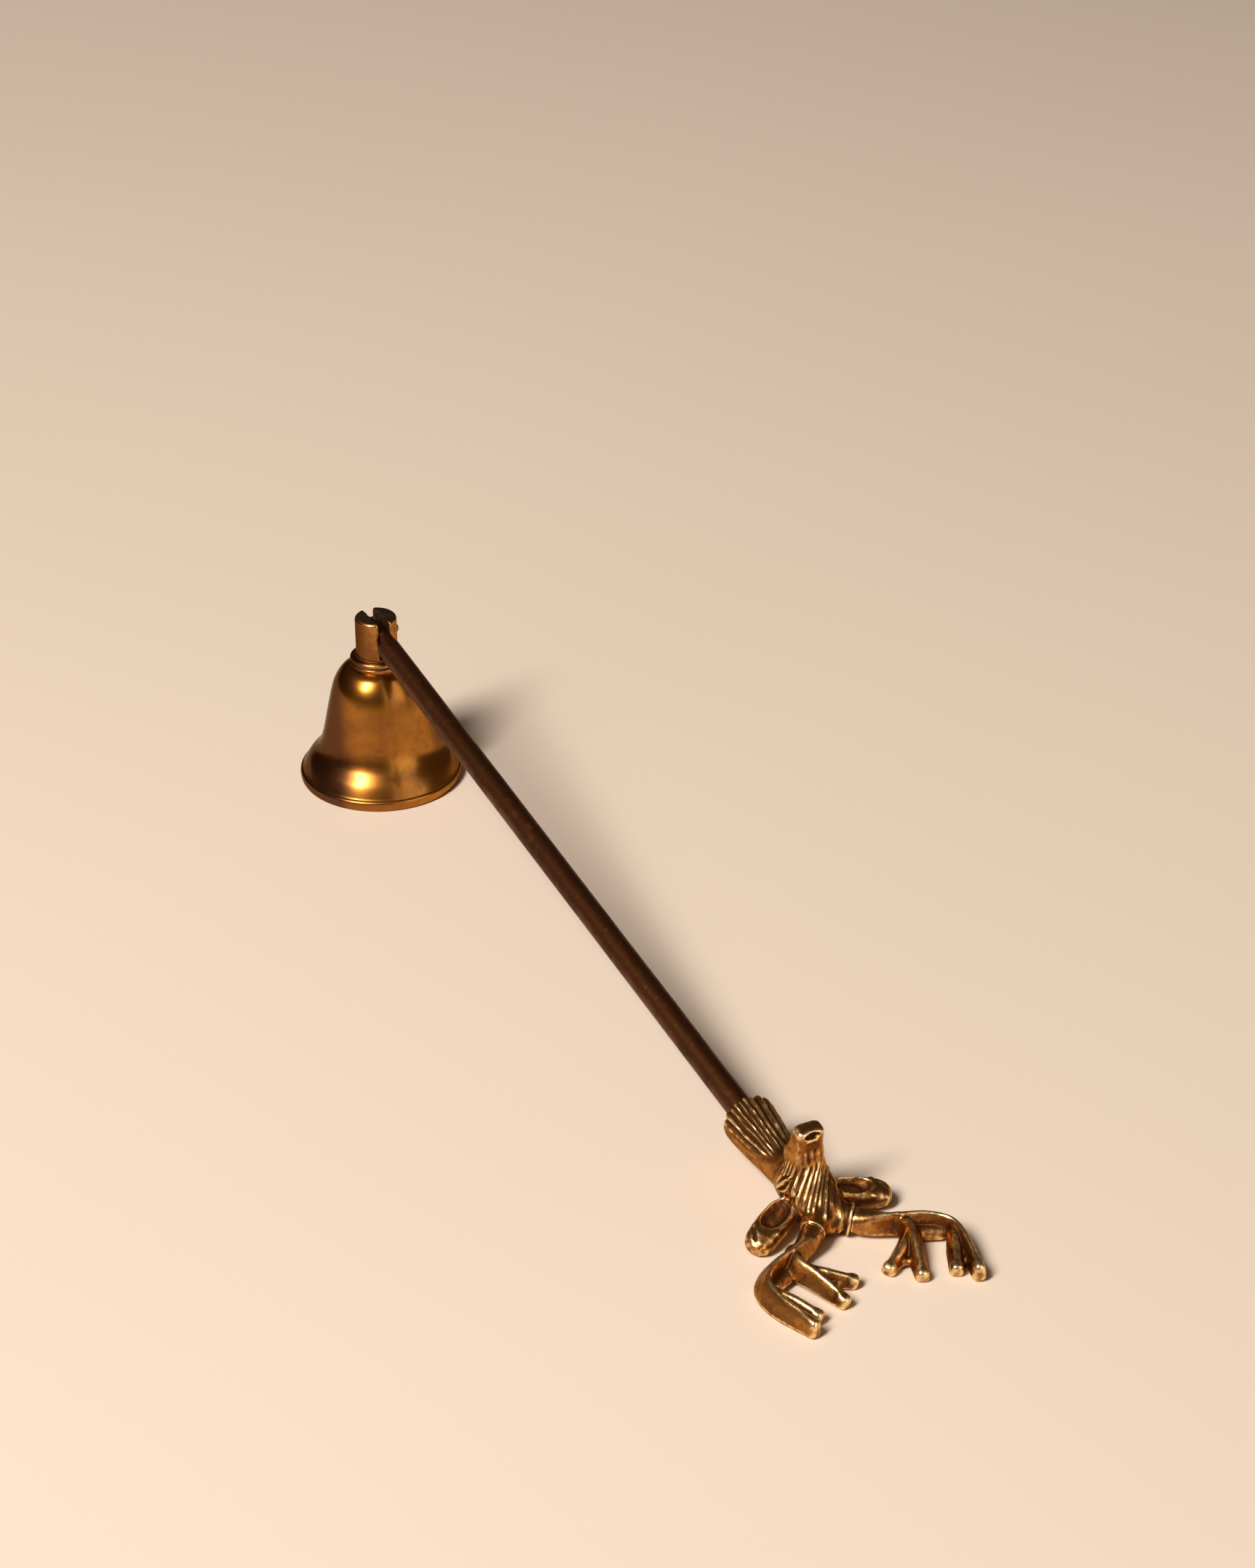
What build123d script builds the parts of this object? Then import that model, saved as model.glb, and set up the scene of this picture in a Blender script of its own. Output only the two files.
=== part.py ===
from build123d import *
import os
from math import asin, atan2, cos, degrees, hypot, radians, sin

os.makedirs("parts", exist_ok=True)

# Bell, turned brass, standing on its mouth
bell_rim_diameter = 40.0
bell_height = 30.8
bell_wall = 1.2
bell_lip_height = 2.2
bell_lip_bulge = 0.6
bell_lip_crease = 0.35
bell_foot_width = 1.5
bell_crown_diameter = 14.4
bell_crown_thickness = 1.6
# Radius share from crown edge to rim, height share from lip to crown
bell_curve_shares = (
    (0.850, 0.118),
    (0.652, 0.224),
    (0.548, 0.343),
    (0.441, 0.570),
    (0.336, 0.780),
    (0.246, 0.885),
    (0.121, 0.962),
)

# Fork post on its collar
collar_diameter = 13.2
collar_height = 2.7
collar_groove_depth = 0.45
collar_groove_width = 0.6
collar_groove_share = 0.42
collar_edge = 0.4
post_diameter = 10.2
post_height = 10.3
post_edge = 0.5
slot_width = 2.7
back_stop_height = 1.9
pin_below_top = 4.5
lowest_rod_angle = 21.0
highest_rod_angle = 97.0

# Hinge pin
pin_diameter = 2.2
pin_proud = 0.7
pin_flush_proud = 0.1

# Crown screw and washer inside the bell
screw_diameter = 4.0
screw_grip = 3.2
screw_head_diameter = 6.8
screw_head_height = 2.0
screw_head_edge = 0.6
screw_slot_width = 1.1
screw_slot_depth = 1.0
washer_diameter = 9.0
washer_thickness = 0.8

# Handle rod
rod_diameter = 5.7
rod_length = 184.5
rod_socket_depth = 14.0
tongue_thickness = 2.5
tongue_length = 6.8
shoulder_edge = 0.5

# Stag's neck
neck_length = 33.0
neck_diameter = 11.6
# Along the neck, half width and half height
neck_shares = (
    (0.000, 0.80, 0.80),
    (0.040, 0.93, 0.93),
    (0.150, 1.00, 1.00),
    (0.350, 0.92, 0.94),
    (0.560, 0.86, 0.92),
    (0.760, 0.88, 0.84),
    (0.900, 0.84, 0.66),
    (1.000, 0.70, 0.48),
)

# Skull, from the throat to the poll between the antlers
skull_along = 24.0
skull_rise = 1.6
skull_length = 12.8
skull_width = 11.4
skull_depth = 10.0
skull_droop = 10.4
# Along the skull, half width and half depth
skull_shares = (
    (-0.15, 0.64, 0.72),
    (0.00, 0.88, 1.00),
    (0.30, 1.00, 0.90),
    (0.60, 0.96, 0.72),
    (0.85, 0.80, 0.52),
    (1.00, 0.58, 0.30),
)

# Muzzle, from the brow up to the nose
muzzle_along = 24.2
muzzle_rise = 3.4
muzzle_length = 12.2
muzzle_width = 9.8
muzzle_depth = 8.8
muzzle_lean = 11.0
# Along the muzzle, half width and half depth
muzzle_shares = (
    (0.00, 1.00, 1.00),
    (0.20, 0.82, 0.89),
    (0.40, 0.66, 0.77),
    (0.65, 0.56, 0.66),
    (0.85, 0.55, 0.61),
    (0.95, 0.47, 0.52),
    (1.00, 0.27, 0.30),
)
eye_diameter = 2.6
eye_along = 26.4
eye_side = 4.2
eye_rise = 3.7
nostril_diameter = 1.4
nostril_along = 24.3
nostril_side = 1.2
nostril_rise = 14.4

# Ears, hollow leaves that stand out sideways
ear_root_along = 27.0
ear_root_side = 4.4
ear_root_rise = 0.4
ear_tip_along = 31.8
ear_tip_side = 16.9
ear_tip_rise = -1.3
ear_width = 7.0
ear_depth = 5.4
ear_hollow_rise = 2.0
# Along the ear, half width and half depth
ear_shares = (
    (0.00, 0.46, 0.66),
    (0.22, 0.80, 0.94),
    (0.52, 1.00, 1.00),
    (0.80, 0.80, 0.82),
    (0.94, 0.50, 0.56),
    (1.00, 0.24, 0.28),
)
ear_hollow_shares = (
    (0.20, 0.16, 0.20),
    (0.32, 0.46, 0.56),
    (0.54, 0.68, 0.72),
    (0.78, 0.48, 0.52),
    (0.90, 0.14, 0.18),
)

# Antlers, which rest on the table by their prongs
antler_root_along = 36.6
antler_root_side = 4.6
antler_root_rise = 0.9
antler_reach = 24.8
antler_span = 48.0
antler_rise = 3.2
antler_thickness = 4.6
prong_diameter = 3.2
pedicle_length = 5.0
antler_seat_diameter = 6.8
antler_seat_depth = 4.0
peg_diameter = 2.2
peg_length = 2.6
# Along the reach, side out of half the span, rise, half width, half height
beam_shares = (
    (0.075, 0.290, 0.26, 0.96, 1.24),
    (0.170, 0.490, 0.38, 0.98, 1.34),
    (0.260, 0.745, 0.40, 0.94, 1.34),
    (0.425, 0.912, 0.54, 0.90, 1.26),
    (0.660, 0.912, 0.70, 0.84, 1.10),
)
beam_tip_shares = (1.000, 0.805)
beam_tip_rise_share = 0.86
front_tine_shares = (
    (0.140, 0.470, 0.45, 0.60, 0.90),
    (0.320, 0.512, 0.62, 0.88, 1.10),
    (0.500, 0.462, 0.70, 0.84, 1.02),
)
front_tine_tip_shares = (0.790, 0.385)
front_prong_shares = (
    (0.330, 0.505, 0.62, 0.60, 0.80),
    (0.500, 0.355, 0.56, 0.74, 0.88),
)
front_prong_tip_shares = (0.607, 0.190)
back_prong_shares = (
    (0.450, 0.895, 0.64, 0.60, 0.80),
    (0.680, 0.775, 0.70, 0.72, 0.86),
)
back_prong_tip_shares = (0.860, 0.678)
tip_angles = (34.0, 60.0, 80.0)
sections_per_span = 3

# Fits and overrun of cuts
press_clearance = 0.02
running_clearance = 0.06
slip_clearance = 0.05
slot_clearance = 0.35
cut_overrun = 2.0

# Values that follow from the sizes above
rim_radius = bell_rim_diameter / 2
crown_radius = bell_crown_diameter / 2
post_radius = post_diameter / 2
rod_radius = rod_diameter / 2
prong_radius = prong_diameter / 2
post_base = bell_height + collar_height
post_top = post_base + post_height
pin_height = post_top - pin_below_top

# The rod's slope sets the outer prongs down on the table
rest_along = rod_length + antler_root_along + antler_reach * beam_tip_shares[0]
rest_rise = antler_rise * beam_tip_rise_share
rest_reach = hypot(rest_along, rest_rise)
rod_slope = degrees(asin((pin_height - prong_radius) / rest_reach)) + degrees(atan2(rest_rise, rest_along))

# Planes of the parts
side = Vector(0, 1, 0)
rod_run = Vector(cos(radians(rod_slope)), 0, -sin(radians(rod_slope)))
rod_up = Vector(sin(radians(rod_slope)), 0, cos(radians(rod_slope)))
pin_centre = Vector(0, 0, pin_height)
rod_section = Plane(origin=pin_centre, x_dir=side, z_dir=rod_run)
rod_flank = Plane(origin=pin_centre, x_dir=rod_run, z_dir=-side)
pin_section = Plane(origin=pin_centre, x_dir=(1, 0, 0), z_dir=-side)
finial = Plane(origin=pin_centre + rod_run * rod_length, x_dir=rod_run, z_dir=rod_up)
neck_section = Plane(origin=finial.origin, x_dir=side, z_dir=rod_run)


def finial_point(along, sideways, rise):
    return finial.from_local_coords(Vector(along, sideways, rise))


def finial_direction(along, sideways, rise):
    return finial_point(along, sideways, rise) - finial.origin


def inset(points, amount):
    inner = []
    for i in range(1, len(points) - 1):
        run_x = points[i + 1][0] - points[i - 1][0]
        run_y = points[i + 1][1] - points[i - 1][1]
        size = hypot(run_x, run_y)
        inner.append((points[i][0] - amount * run_y / size, points[i][1] + amount * run_x / size))
    return inner


# Turned bell: lip, flaring curve, crown and the same curve inside
curve = [(rim_radius - bell_lip_crease, bell_lip_height)]
for radius_share, height_share in bell_curve_shares:
    curve.append(
        (
            crown_radius + radius_share * (rim_radius - crown_radius),
            bell_lip_height + height_share * (bell_height - bell_lip_height),
        )
    )
curve.append((crown_radius, bell_height))
foot_outside = rim_radius - bell_lip_bulge
foot_inside = foot_outside - bell_foot_width
ceiling = bell_height - bell_crown_thickness
hollow = [(foot_inside, 0)] + inset(curve, bell_wall) + [(crown_radius - bell_wall, ceiling)]
screw_hole_radius = screw_diameter / 2 + slip_clearance

with BuildPart() as bell:
    with BuildSketch(Plane.XZ):
        with BuildLine():
            Line((foot_inside, 0), (foot_outside, 0))
            ThreePointArc((foot_outside, 0), (rim_radius, bell_lip_height / 2), curve[0])
            Spline(*curve)
            Line(curve[-1], (screw_hole_radius, bell_height))
            Line((screw_hole_radius, bell_height), (screw_hole_radius, ceiling))
            Line((screw_hole_radius, ceiling), hollow[-1])
            Spline(*reversed(hollow))
        make_face()
    revolve(axis=Axis.Z)
bell.part.label = "bell"
export_step(bell.part, "parts/bell.step")

# Fork post: collar with a groove, round post, slot open to the rod and the top
groove_height = bell_height + collar_height * collar_groove_share
tongue_sweep = rod_radius + slot_clearance
low = radians(lowest_rod_angle)
high = radians(highest_rod_angle)
low_touch = (-tongue_sweep * sin(low), -tongue_sweep * cos(low))
high_touch = (-tongue_sweep * sin(high), tongue_sweep * cos(high))
turn_back = (low + radians(90.0) - high + radians(90.0)) / 2
floor_back = (-tongue_sweep * cos(turn_back - low), -tongue_sweep * sin(turn_back - low))
slot_front = post_radius + cut_overrun
slot_top = pin_below_top + cut_overrun
floor_front = (slot_front, low_touch[1] - (slot_front - low_touch[0]) * sin(low) / cos(low))
stop_top = (high_touch[0] + (back_stop_height - high_touch[1]) * cos(high) / sin(high), back_stop_height)

with BuildPart() as fork_post:
    with BuildSketch(Plane.XY.offset(bell_height)):
        Circle(collar_diameter / 2)
    extrude(amount=collar_height)
    chamfer(fork_post.edges().group_by(Axis.Z)[-1], length=collar_edge)
    with BuildSketch(Plane.XY.offset(groove_height)):
        Circle(collar_diameter / 2 + cut_overrun)
        Circle(collar_diameter / 2 - collar_groove_depth, mode=Mode.SUBTRACT)
    extrude(amount=collar_groove_width, mode=Mode.SUBTRACT)
    with BuildSketch(Plane.XY.offset(post_base)):
        Circle(post_radius)
    extrude(amount=post_height)
    chamfer(fork_post.edges().group_by(Axis.Z)[-1], length=post_edge)
    with BuildSketch(pin_section):
        with BuildLine():
            Line(floor_front, low_touch)
            ThreePointArc(low_touch, floor_back, high_touch)
            Line(high_touch, stop_top)
            Line(stop_top, (-slot_front, back_stop_height))
            Line((-slot_front, back_stop_height), (-slot_front, slot_top))
            Line((-slot_front, slot_top), (slot_front, slot_top))
            Line((slot_front, slot_top), floor_front)
        make_face()
    extrude(amount=slot_width / 2, both=True, mode=Mode.SUBTRACT)
    with BuildSketch(pin_section):
        Circle(pin_diameter / 2 + press_clearance)
    extrude(amount=post_radius + cut_overrun, both=True, mode=Mode.SUBTRACT)
    with BuildSketch(Plane.XY.offset(bell_height)):
        Circle(screw_hole_radius)
    extrude(amount=screw_grip + slip_clearance, mode=Mode.SUBTRACT)
fork_post.part.label = "fork_post"
export_step(fork_post.part, "parts/fork_post.step")

# Hinge pin: flush at one ear, rounded end standing proud at the other
with BuildPart() as hinge_pin:
    with BuildSketch(Plane(origin=pin_centre - side * (post_radius + pin_flush_proud), z_dir=side)):
        Circle(pin_diameter / 2)
    extrude(amount=post_diameter + pin_flush_proud + pin_proud)
    fillet(hinge_pin.edges().group_by(Axis.Y)[-1], radius=pin_proud)
hinge_pin.part.label = "hinge_pin"
export_step(hinge_pin.part, "parts/hinge_pin.step")

# Washer and slotted screw under the crown
washer_seat = ceiling - washer_thickness
with BuildPart() as crown_washer:
    with BuildSketch(Plane.XY.offset(washer_seat)):
        Circle(washer_diameter / 2)
        Circle(screw_hole_radius, mode=Mode.SUBTRACT)
    extrude(amount=washer_thickness)
crown_washer.part.label = "crown_washer"
export_step(crown_washer.part, "parts/crown_washer.step")

screw_seat = washer_seat - screw_head_height
with BuildPart() as crown_screw:
    with BuildSketch(Plane.XY.offset(screw_seat)):
        Circle(screw_head_diameter / 2)
    extrude(amount=screw_head_height)
    fillet(crown_screw.edges().group_by(Axis.Z)[0], radius=screw_head_edge)
    with BuildSketch(Plane.XY.offset(screw_seat)):
        Rectangle(screw_head_diameter + cut_overrun, screw_slot_width)
    extrude(amount=screw_slot_depth, mode=Mode.SUBTRACT)
    with BuildSketch(Plane.XY.offset(washer_seat)):
        Circle(screw_diameter / 2)
    extrude(amount=bell_height + screw_grip - washer_seat)
crown_screw.part.label = "crown_screw"
export_step(crown_screw.part, "parts/crown_screw.step")

# Handle rod: tongue with an eye at the fork, plain end in the neck
with BuildPart() as rod:
    with BuildSketch(rod_section.offset(tongue_length)):
        Circle(rod_radius)
    extrude(amount=rod_length + rod_socket_depth - tongue_length)
    chamfer(rod.edges().sort_by(Axis.X)[0], length=shoulder_edge)
    with BuildSketch(rod_flank):
        Circle(rod_radius)
        with BuildLine():
            Polyline(
                (0, -rod_radius),
                (tongue_length + rod_radius, -rod_radius),
                (tongue_length + rod_radius, rod_radius),
                (0, rod_radius),
                close=True,
            )
        make_face()
        Circle(pin_diameter / 2 + running_clearance, mode=Mode.SUBTRACT)
    extrude(amount=tongue_thickness / 2, both=True)
rod.part.label = "rod"
export_step(rod.part, "parts/rod.step")


def branch(rows, tip, antler_side, root=None):
    points = []
    widths = []
    heights = []
    if root:
        points.append(root.origin)
        widths.append(antler_thickness / 2)
        heights.append(antler_thickness / 2)
    for along_share, side_share, rise_share, width_share, height_share in rows:
        points.append(
            finial_point(
                antler_root_along + along_share * antler_reach,
                antler_side * side_share * antler_span / 2,
                rise_share * antler_rise,
            )
        )
        widths.append(width_share * antler_thickness / 2)
        heights.append(height_share * antler_thickness / 2)
    tip_along = antler_root_along + tip[0] * antler_reach
    tip_point = finial_point(tip_along, antler_side * tip[1] * antler_span / 2, 0)
    points.append(tip_point + rod_up * ((prong_radius - tip_point.Z) / rod_up.Z))
    widths.append(prong_radius)
    heights.append(prong_radius)
    path = Edge.make_spline(points)
    sections = []
    spans = len(points) - 1
    steps = spans * sections_per_span
    for step in range(steps + 1):
        before = min(step // sections_per_span, spans - 1)
        blend = step / sections_per_span - before
        at = path.param_at_point(points[before]) * (1 - blend) + path.param_at_point(points[before + 1]) * blend
        run = path.tangent_at(at)
        plane = Plane(origin=path.position_at(at), x_dir=rod_up.cross(run), z_dir=run)
        if root and step == 0:
            plane = root
        width = widths[before] * (1 - blend) + widths[before + 1] * blend
        height = heights[before] * (1 - blend) + heights[before + 1] * blend
        sections.append((plane, width, height))
    for angle in tip_angles:
        size = prong_radius * cos(radians(angle))
        sections.append((plane.offset(prong_radius * sin(radians(angle))), size, size))
    return sections


def antler_root(antler_side):
    first = beam_shares[0]
    root = finial_point(antler_root_along, antler_side * antler_root_side, antler_root_rise)
    ahead = finial_point(
        antler_root_along + first[0] * antler_reach,
        antler_side * first[1] * antler_span / 2,
        first[2] * antler_rise,
    )
    run = (ahead - root).normalized()
    return Plane(origin=root, x_dir=rod_up.cross(run), z_dir=run)


# Cast neck, head and ears
droop = radians(skull_droop)
lean = radians(muzzle_lean)
skull_section = Plane(
    origin=finial_point(skull_along, 0, skull_rise),
    x_dir=side,
    z_dir=finial_direction(cos(droop), 0, -sin(droop)),
)
muzzle_section = Plane(
    origin=finial_point(muzzle_along, 0, muzzle_rise),
    x_dir=side,
    z_dir=finial_direction(-sin(lean), 0, cos(lean)),
)

with BuildPart() as stag_head:
    for along_share, width_share, height_share in neck_shares:
        with BuildSketch(neck_section.offset(along_share * neck_length)):
            Ellipse(width_share * neck_diameter / 2, height_share * neck_diameter / 2)
    loft()
    for along_share, width_share, depth_share in skull_shares:
        with BuildSketch(skull_section.offset(along_share * skull_length)):
            Ellipse(width_share * skull_width / 2, depth_share * skull_depth / 2)
    loft()
    for along_share, width_share, depth_share in muzzle_shares:
        with BuildSketch(muzzle_section.offset(along_share * muzzle_length)):
            Ellipse(width_share * muzzle_width / 2, depth_share * muzzle_depth / 2)
    loft()
    for ear_side in (-1, 1):
        ear_root = finial_point(ear_root_along, ear_side * ear_root_side, ear_root_rise)
        ear_tip = finial_point(ear_tip_along, ear_side * ear_tip_side, ear_tip_rise)
        ear_run = (ear_tip - ear_root).normalized()
        ear_length = (ear_tip - ear_root).length
        ear_section = Plane(origin=ear_root, x_dir=rod_up.cross(ear_run), z_dir=ear_run)
        hollow_section = Plane(
            origin=ear_root + rod_up * ear_hollow_rise, x_dir=rod_up.cross(ear_run), z_dir=ear_run
        )
        for along_share, width_share, depth_share in ear_shares:
            with BuildSketch(ear_section.offset(along_share * ear_length)):
                Ellipse(width_share * ear_width / 2, depth_share * ear_depth / 2)
        loft()
        for along_share, width_share, depth_share in ear_hollow_shares:
            with BuildSketch(hollow_section.offset(along_share * ear_length)):
                Ellipse(width_share * ear_width / 2, depth_share * ear_depth / 2)
        loft(mode=Mode.SUBTRACT)
        with BuildSketch(antler_root(ear_side)):
            Circle(antler_thickness / 2)
        extrude(amount=-pedicle_length)
        with Locations(finial_point(eye_along, ear_side * eye_side, eye_rise)):
            Sphere(eye_diameter / 2)
    for cut_side in (-1, 1):
        with Locations(finial_point(nostril_along, cut_side * nostril_side, nostril_rise)):
            Sphere(nostril_diameter / 2, mode=Mode.SUBTRACT)
        with BuildSketch(antler_root(cut_side)):
            Circle(antler_seat_diameter / 2)
        extrude(amount=antler_seat_depth, mode=Mode.SUBTRACT)
        with BuildSketch(antler_root(cut_side)):
            Circle(peg_diameter / 2 + slip_clearance)
        extrude(amount=-(peg_length + slip_clearance), mode=Mode.SUBTRACT)
    with BuildSketch(neck_section):
        Circle(rod_radius + slip_clearance)
    extrude(amount=rod_socket_depth, mode=Mode.SUBTRACT)
stag_head.part.label = "stag_head"
export_step(stag_head.part, "parts/stag_head.step")

# Antlers, each a beam with a forked front tine and a back prong, pegged into the head
for antler_side, antler_name in ((-1, "antler_left"), (1, "antler_right")):
    root_plane = antler_root(antler_side)
    limbs = (
        branch(beam_shares, beam_tip_shares, antler_side, root_plane),
        branch(front_tine_shares, front_tine_tip_shares, antler_side),
        branch(front_prong_shares, front_prong_tip_shares, antler_side),
        branch(back_prong_shares, back_prong_tip_shares, antler_side),
    )
    with BuildPart() as antler:
        for sections in limbs:
            for plane, width, height in sections:
                with BuildSketch(plane):
                    Ellipse(width, height)
            loft(ruled=True)
        with BuildSketch(root_plane):
            Circle(peg_diameter / 2)
        extrude(amount=-peg_length)
    antler.part.label = antler_name
    export_step(antler.part, f"parts/{antler_name}.step")
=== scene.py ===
from math import asin, atan2, cos, hypot, pi, radians, sin

import bmesh
import bpy
import numpy as np
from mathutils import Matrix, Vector


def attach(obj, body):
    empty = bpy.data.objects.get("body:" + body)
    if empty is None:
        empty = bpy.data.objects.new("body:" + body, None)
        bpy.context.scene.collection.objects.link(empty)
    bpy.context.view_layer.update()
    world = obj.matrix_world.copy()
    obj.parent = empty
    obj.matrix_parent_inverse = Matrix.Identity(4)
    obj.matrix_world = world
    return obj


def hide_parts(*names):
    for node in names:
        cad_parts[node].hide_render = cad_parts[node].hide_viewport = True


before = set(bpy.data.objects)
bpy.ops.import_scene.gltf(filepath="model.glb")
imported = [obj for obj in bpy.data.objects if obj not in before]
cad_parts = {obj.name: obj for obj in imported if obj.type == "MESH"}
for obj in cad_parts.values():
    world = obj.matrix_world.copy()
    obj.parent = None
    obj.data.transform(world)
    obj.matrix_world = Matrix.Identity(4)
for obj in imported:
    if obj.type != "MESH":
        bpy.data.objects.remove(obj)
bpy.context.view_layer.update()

MM = 0.001

# Sizes shared with the solids, in millimetres
PIN_HEIGHT = 39.3
ROD_LENGTH = 184.5
ANTLER_ROOT = (36.6, 4.6, 0.9)
ANTLER_REACH = 24.8
ANTLER_SPAN = 48.0
ANTLER_RISE = 3.2
ANTLER_THICKNESS = 4.6
PRONG_RADIUS = 1.6
REST_ALONG = ROD_LENGTH + ANTLER_ROOT[0] + ANTLER_REACH
RESTING_SHARE = 0.86
REST_RISE = ANTLER_RISE * RESTING_SHARE
REST_REACH = hypot(REST_ALONG, REST_RISE)
ROD_SLOPE = asin((PIN_HEIGHT - PRONG_RADIUS) / REST_REACH) + atan2(REST_RISE, REST_ALONG)
ROD_RUN = np.array((cos(ROD_SLOPE), 0.0, -sin(ROD_SLOPE)))
ROD_UP = np.array((sin(ROD_SLOPE), 0.0, cos(ROD_SLOPE)))
FINIAL = np.array((0.0, 0.0, PIN_HEIGHT)) + ROD_RUN * ROD_LENGTH

# How finely a casting's skin is worked out: blocks of the grid, touching spots, evening, relief
BLOCK = 12
BLOCK_SHARE = 0.9
BLOCK_MARGIN = 0.8
FAR = 9.0
PINCH_ROUNDS, PINCH_FILL = 6, -0.01
EVEN_ROUNDS, EVEN_AMOUNT = 2, 0.5
CHASED_ROUNDS, CHASED_AMOUNT = 2, 0.35
RELIEFS = (("fine_relief", 6, 0.10), ("broad_relief", 30, 0.45))
SIDEWAYS = np.array((0.0, 1.0, 0.0))


# Casting: a field of distances turned into a closed skin

def capsule(p, a, b, ra, rb, squeeze=(1, 1, 1)):
    """Distance to a round bar from a to b, its radius going from ra to rb."""
    s = np.array(squeeze, float)
    p = p * s
    a = np.array(a, float) * s
    b = np.array(b, float) * s
    ab = b - a
    t = np.clip(((p - a) @ ab) / (ab @ ab), 0, 1)
    return np.linalg.norm(p - a - t[..., None] * ab, axis=-1) - (ra + (rb - ra) * t)


def egg(p, centre, radii):
    """Distance to an egg with three half lengths, near enough."""
    q = (p - np.array(centre, float)) / np.array(radii, float)
    k0 = np.linalg.norm(q, axis=-1) + 1e-9
    k1 = np.linalg.norm(q / np.array(radii, float), axis=-1) + 1e-9
    return k0 * (k0 - 1) / k1


def join(a, b, k):
    """Two shapes run together over a width k."""
    h = np.clip(0.5 + 0.5 * (b - a) / k, 0, 1)
    return b + (a - b) * h - k * h * (1 - h)


def carve(a, b, k):
    """Shape b cut out of a, its edge softened over a width k."""
    return -join(-a, b, k)


def ramp(x, x0, x1):
    """0 at x0, 1 at x1, smooth between."""
    t = np.clip((x - x0) / (x1 - x0), 0, 1)
    return t * t * (3 - 2 * t)


def to_world(p):
    """From millimetres along, across and above the rod's end to the shared frame."""
    p = np.asarray(p, float)
    return FINIAL + p[..., :1] * ROD_RUN + p[..., 1:2] * SIDEWAYS + p[..., 2:] * ROD_UP



def table_height(p):
    """Height over the table of a place given along, across and above the rod's end."""
    return FINIAL[2] + p[..., 0] * ROD_RUN[2] + p[..., 2] * ROD_UP[2]


def open_pinches(grid):
    """Fills the grid points where the surface would touch itself along an edge."""
    for _ in range(PINCH_ROUNDS):
        found = 0
        for first, second in ((0, 1), (0, 2), (1, 2)):
            corners = []
            for i, j in ((0, 0), (0, 1), (1, 0), (1, 1)):
                cut = [np.s_[:]] * 3
                cut[first] = np.s_[i:grid.shape[first] - 1 + i]
                cut[second] = np.s_[j:grid.shape[second] - 1 + j]
                corners.append(grid[tuple(cut)])
            a, b, c, d = [corner < 0 for corner in corners]
            falling = a & d & ~b & ~c
            rising = b & c & ~a & ~d
            corners[1][falling] = PINCH_FILL
            corners[0][rising] = PINCH_FILL
            found += falling.sum() + rising.sum()
        if not found:
            return


def skin(field, low, high, step):
    """Surface of the zero level of field(points), filled in only in the blocks near it."""
    low = np.array(low, float)
    counts = np.ceil((np.array(high, float) - low) / step).astype(int) + 1
    counts = ((counts + BLOCK - 1) // BLOCK) * BLOCK
    grid = np.full(counts, FAR, np.float32)
    axes = [low[i] + step * np.arange(counts[i]) for i in range(3)]
    blocks = counts // BLOCK
    half = (BLOCK - 1) / 2
    centres = [low[i] + step * (np.arange(blocks[i]) * BLOCK + half) for i in range(3)]
    middles = np.stack(np.meshgrid(*centres, indexing="ij"), -1)
    rough = field(middles.reshape(-1, 3)).reshape(blocks)
    reach = step * BLOCK * BLOCK_SHARE + BLOCK_MARGIN
    for spot in np.argwhere(rough < reach):
        part = tuple(np.s_[i * BLOCK:(i + 1) * BLOCK] for i in spot)
        if rough[tuple(spot)] <= -reach:
            grid[part] = -FAR
            continue
        places = np.stack(np.meshgrid(*[axes[i][part[i]] for i in range(3)], indexing="ij"), -1)
        grid[part] = field(places.reshape(-1, 3)).reshape(places.shape[:3])
    open_pinches(grid)
    inside = grid < 0
    cells = np.zeros(tuple(counts - 1), np.int8)
    corners = [(dx, dy, dz) for dx in (0, 1) for dy in (0, 1) for dz in (0, 1)]
    nx, ny, nz = counts - 1
    for dx, dy, dz in corners:
        cells += inside[dx:dx + nx, dy:dy + ny, dz:dz + nz]
    active = np.argwhere((cells > 0) & (cells < 8))
    number = np.full(tuple(counts - 1), -1, np.int64)
    number[tuple(active.T)] = np.arange(len(active))
    total = np.zeros((len(active), 3))
    hits = np.zeros(len(active))
    for c in corners:
        for axis in range(3):
            if c[axis]:
                continue
            d = list(c)
            d[axis] = 1
            va = grid[tuple((active + c).T)].astype(float)
            vb = grid[tuple((active + d).T)].astype(float)
            cross = (va < 0) != (vb < 0)
            t = np.where(cross, va / np.where(cross, va - vb, 1), 0)
            point = np.array(c, float) + t[:, None] * (np.array(d) - np.array(c))
            total += np.where(cross[:, None], point, 0)
            hits += cross
    verts = low + step * (active + total / hits[:, None])
    faces = []
    for axis in range(3):
        u, v = (axis + 1) % 3, (axis + 2) % 3
        lo = [slice(1, n) for n in (nx, ny, nz)]
        lo[axis] = slice(0, (nx, ny, nz)[axis])
        hi = list(lo)
        hi[axis] = slice(1, (nx, ny, nz)[axis] + 1)
        a, b = inside[tuple(lo)], inside[tuple(hi)]
        for flip, edges in ((False, a & ~b), (True, ~a & b)):
            at = np.argwhere(edges)
            base = at + 1
            base[:, axis] -= 1
            ring = []
            for du, dv in ((0, 0), (-1, 0), (-1, -1), (0, -1)):
                cell = base.copy()
                cell[:, u] += du
                cell[:, v] += dv
                ring.append(number[tuple(cell.T)])
            quad = np.stack(ring, -1)
            faces.append(quad[:, ::-1] if flip else quad)
    return verts, np.concatenate(faces)


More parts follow.
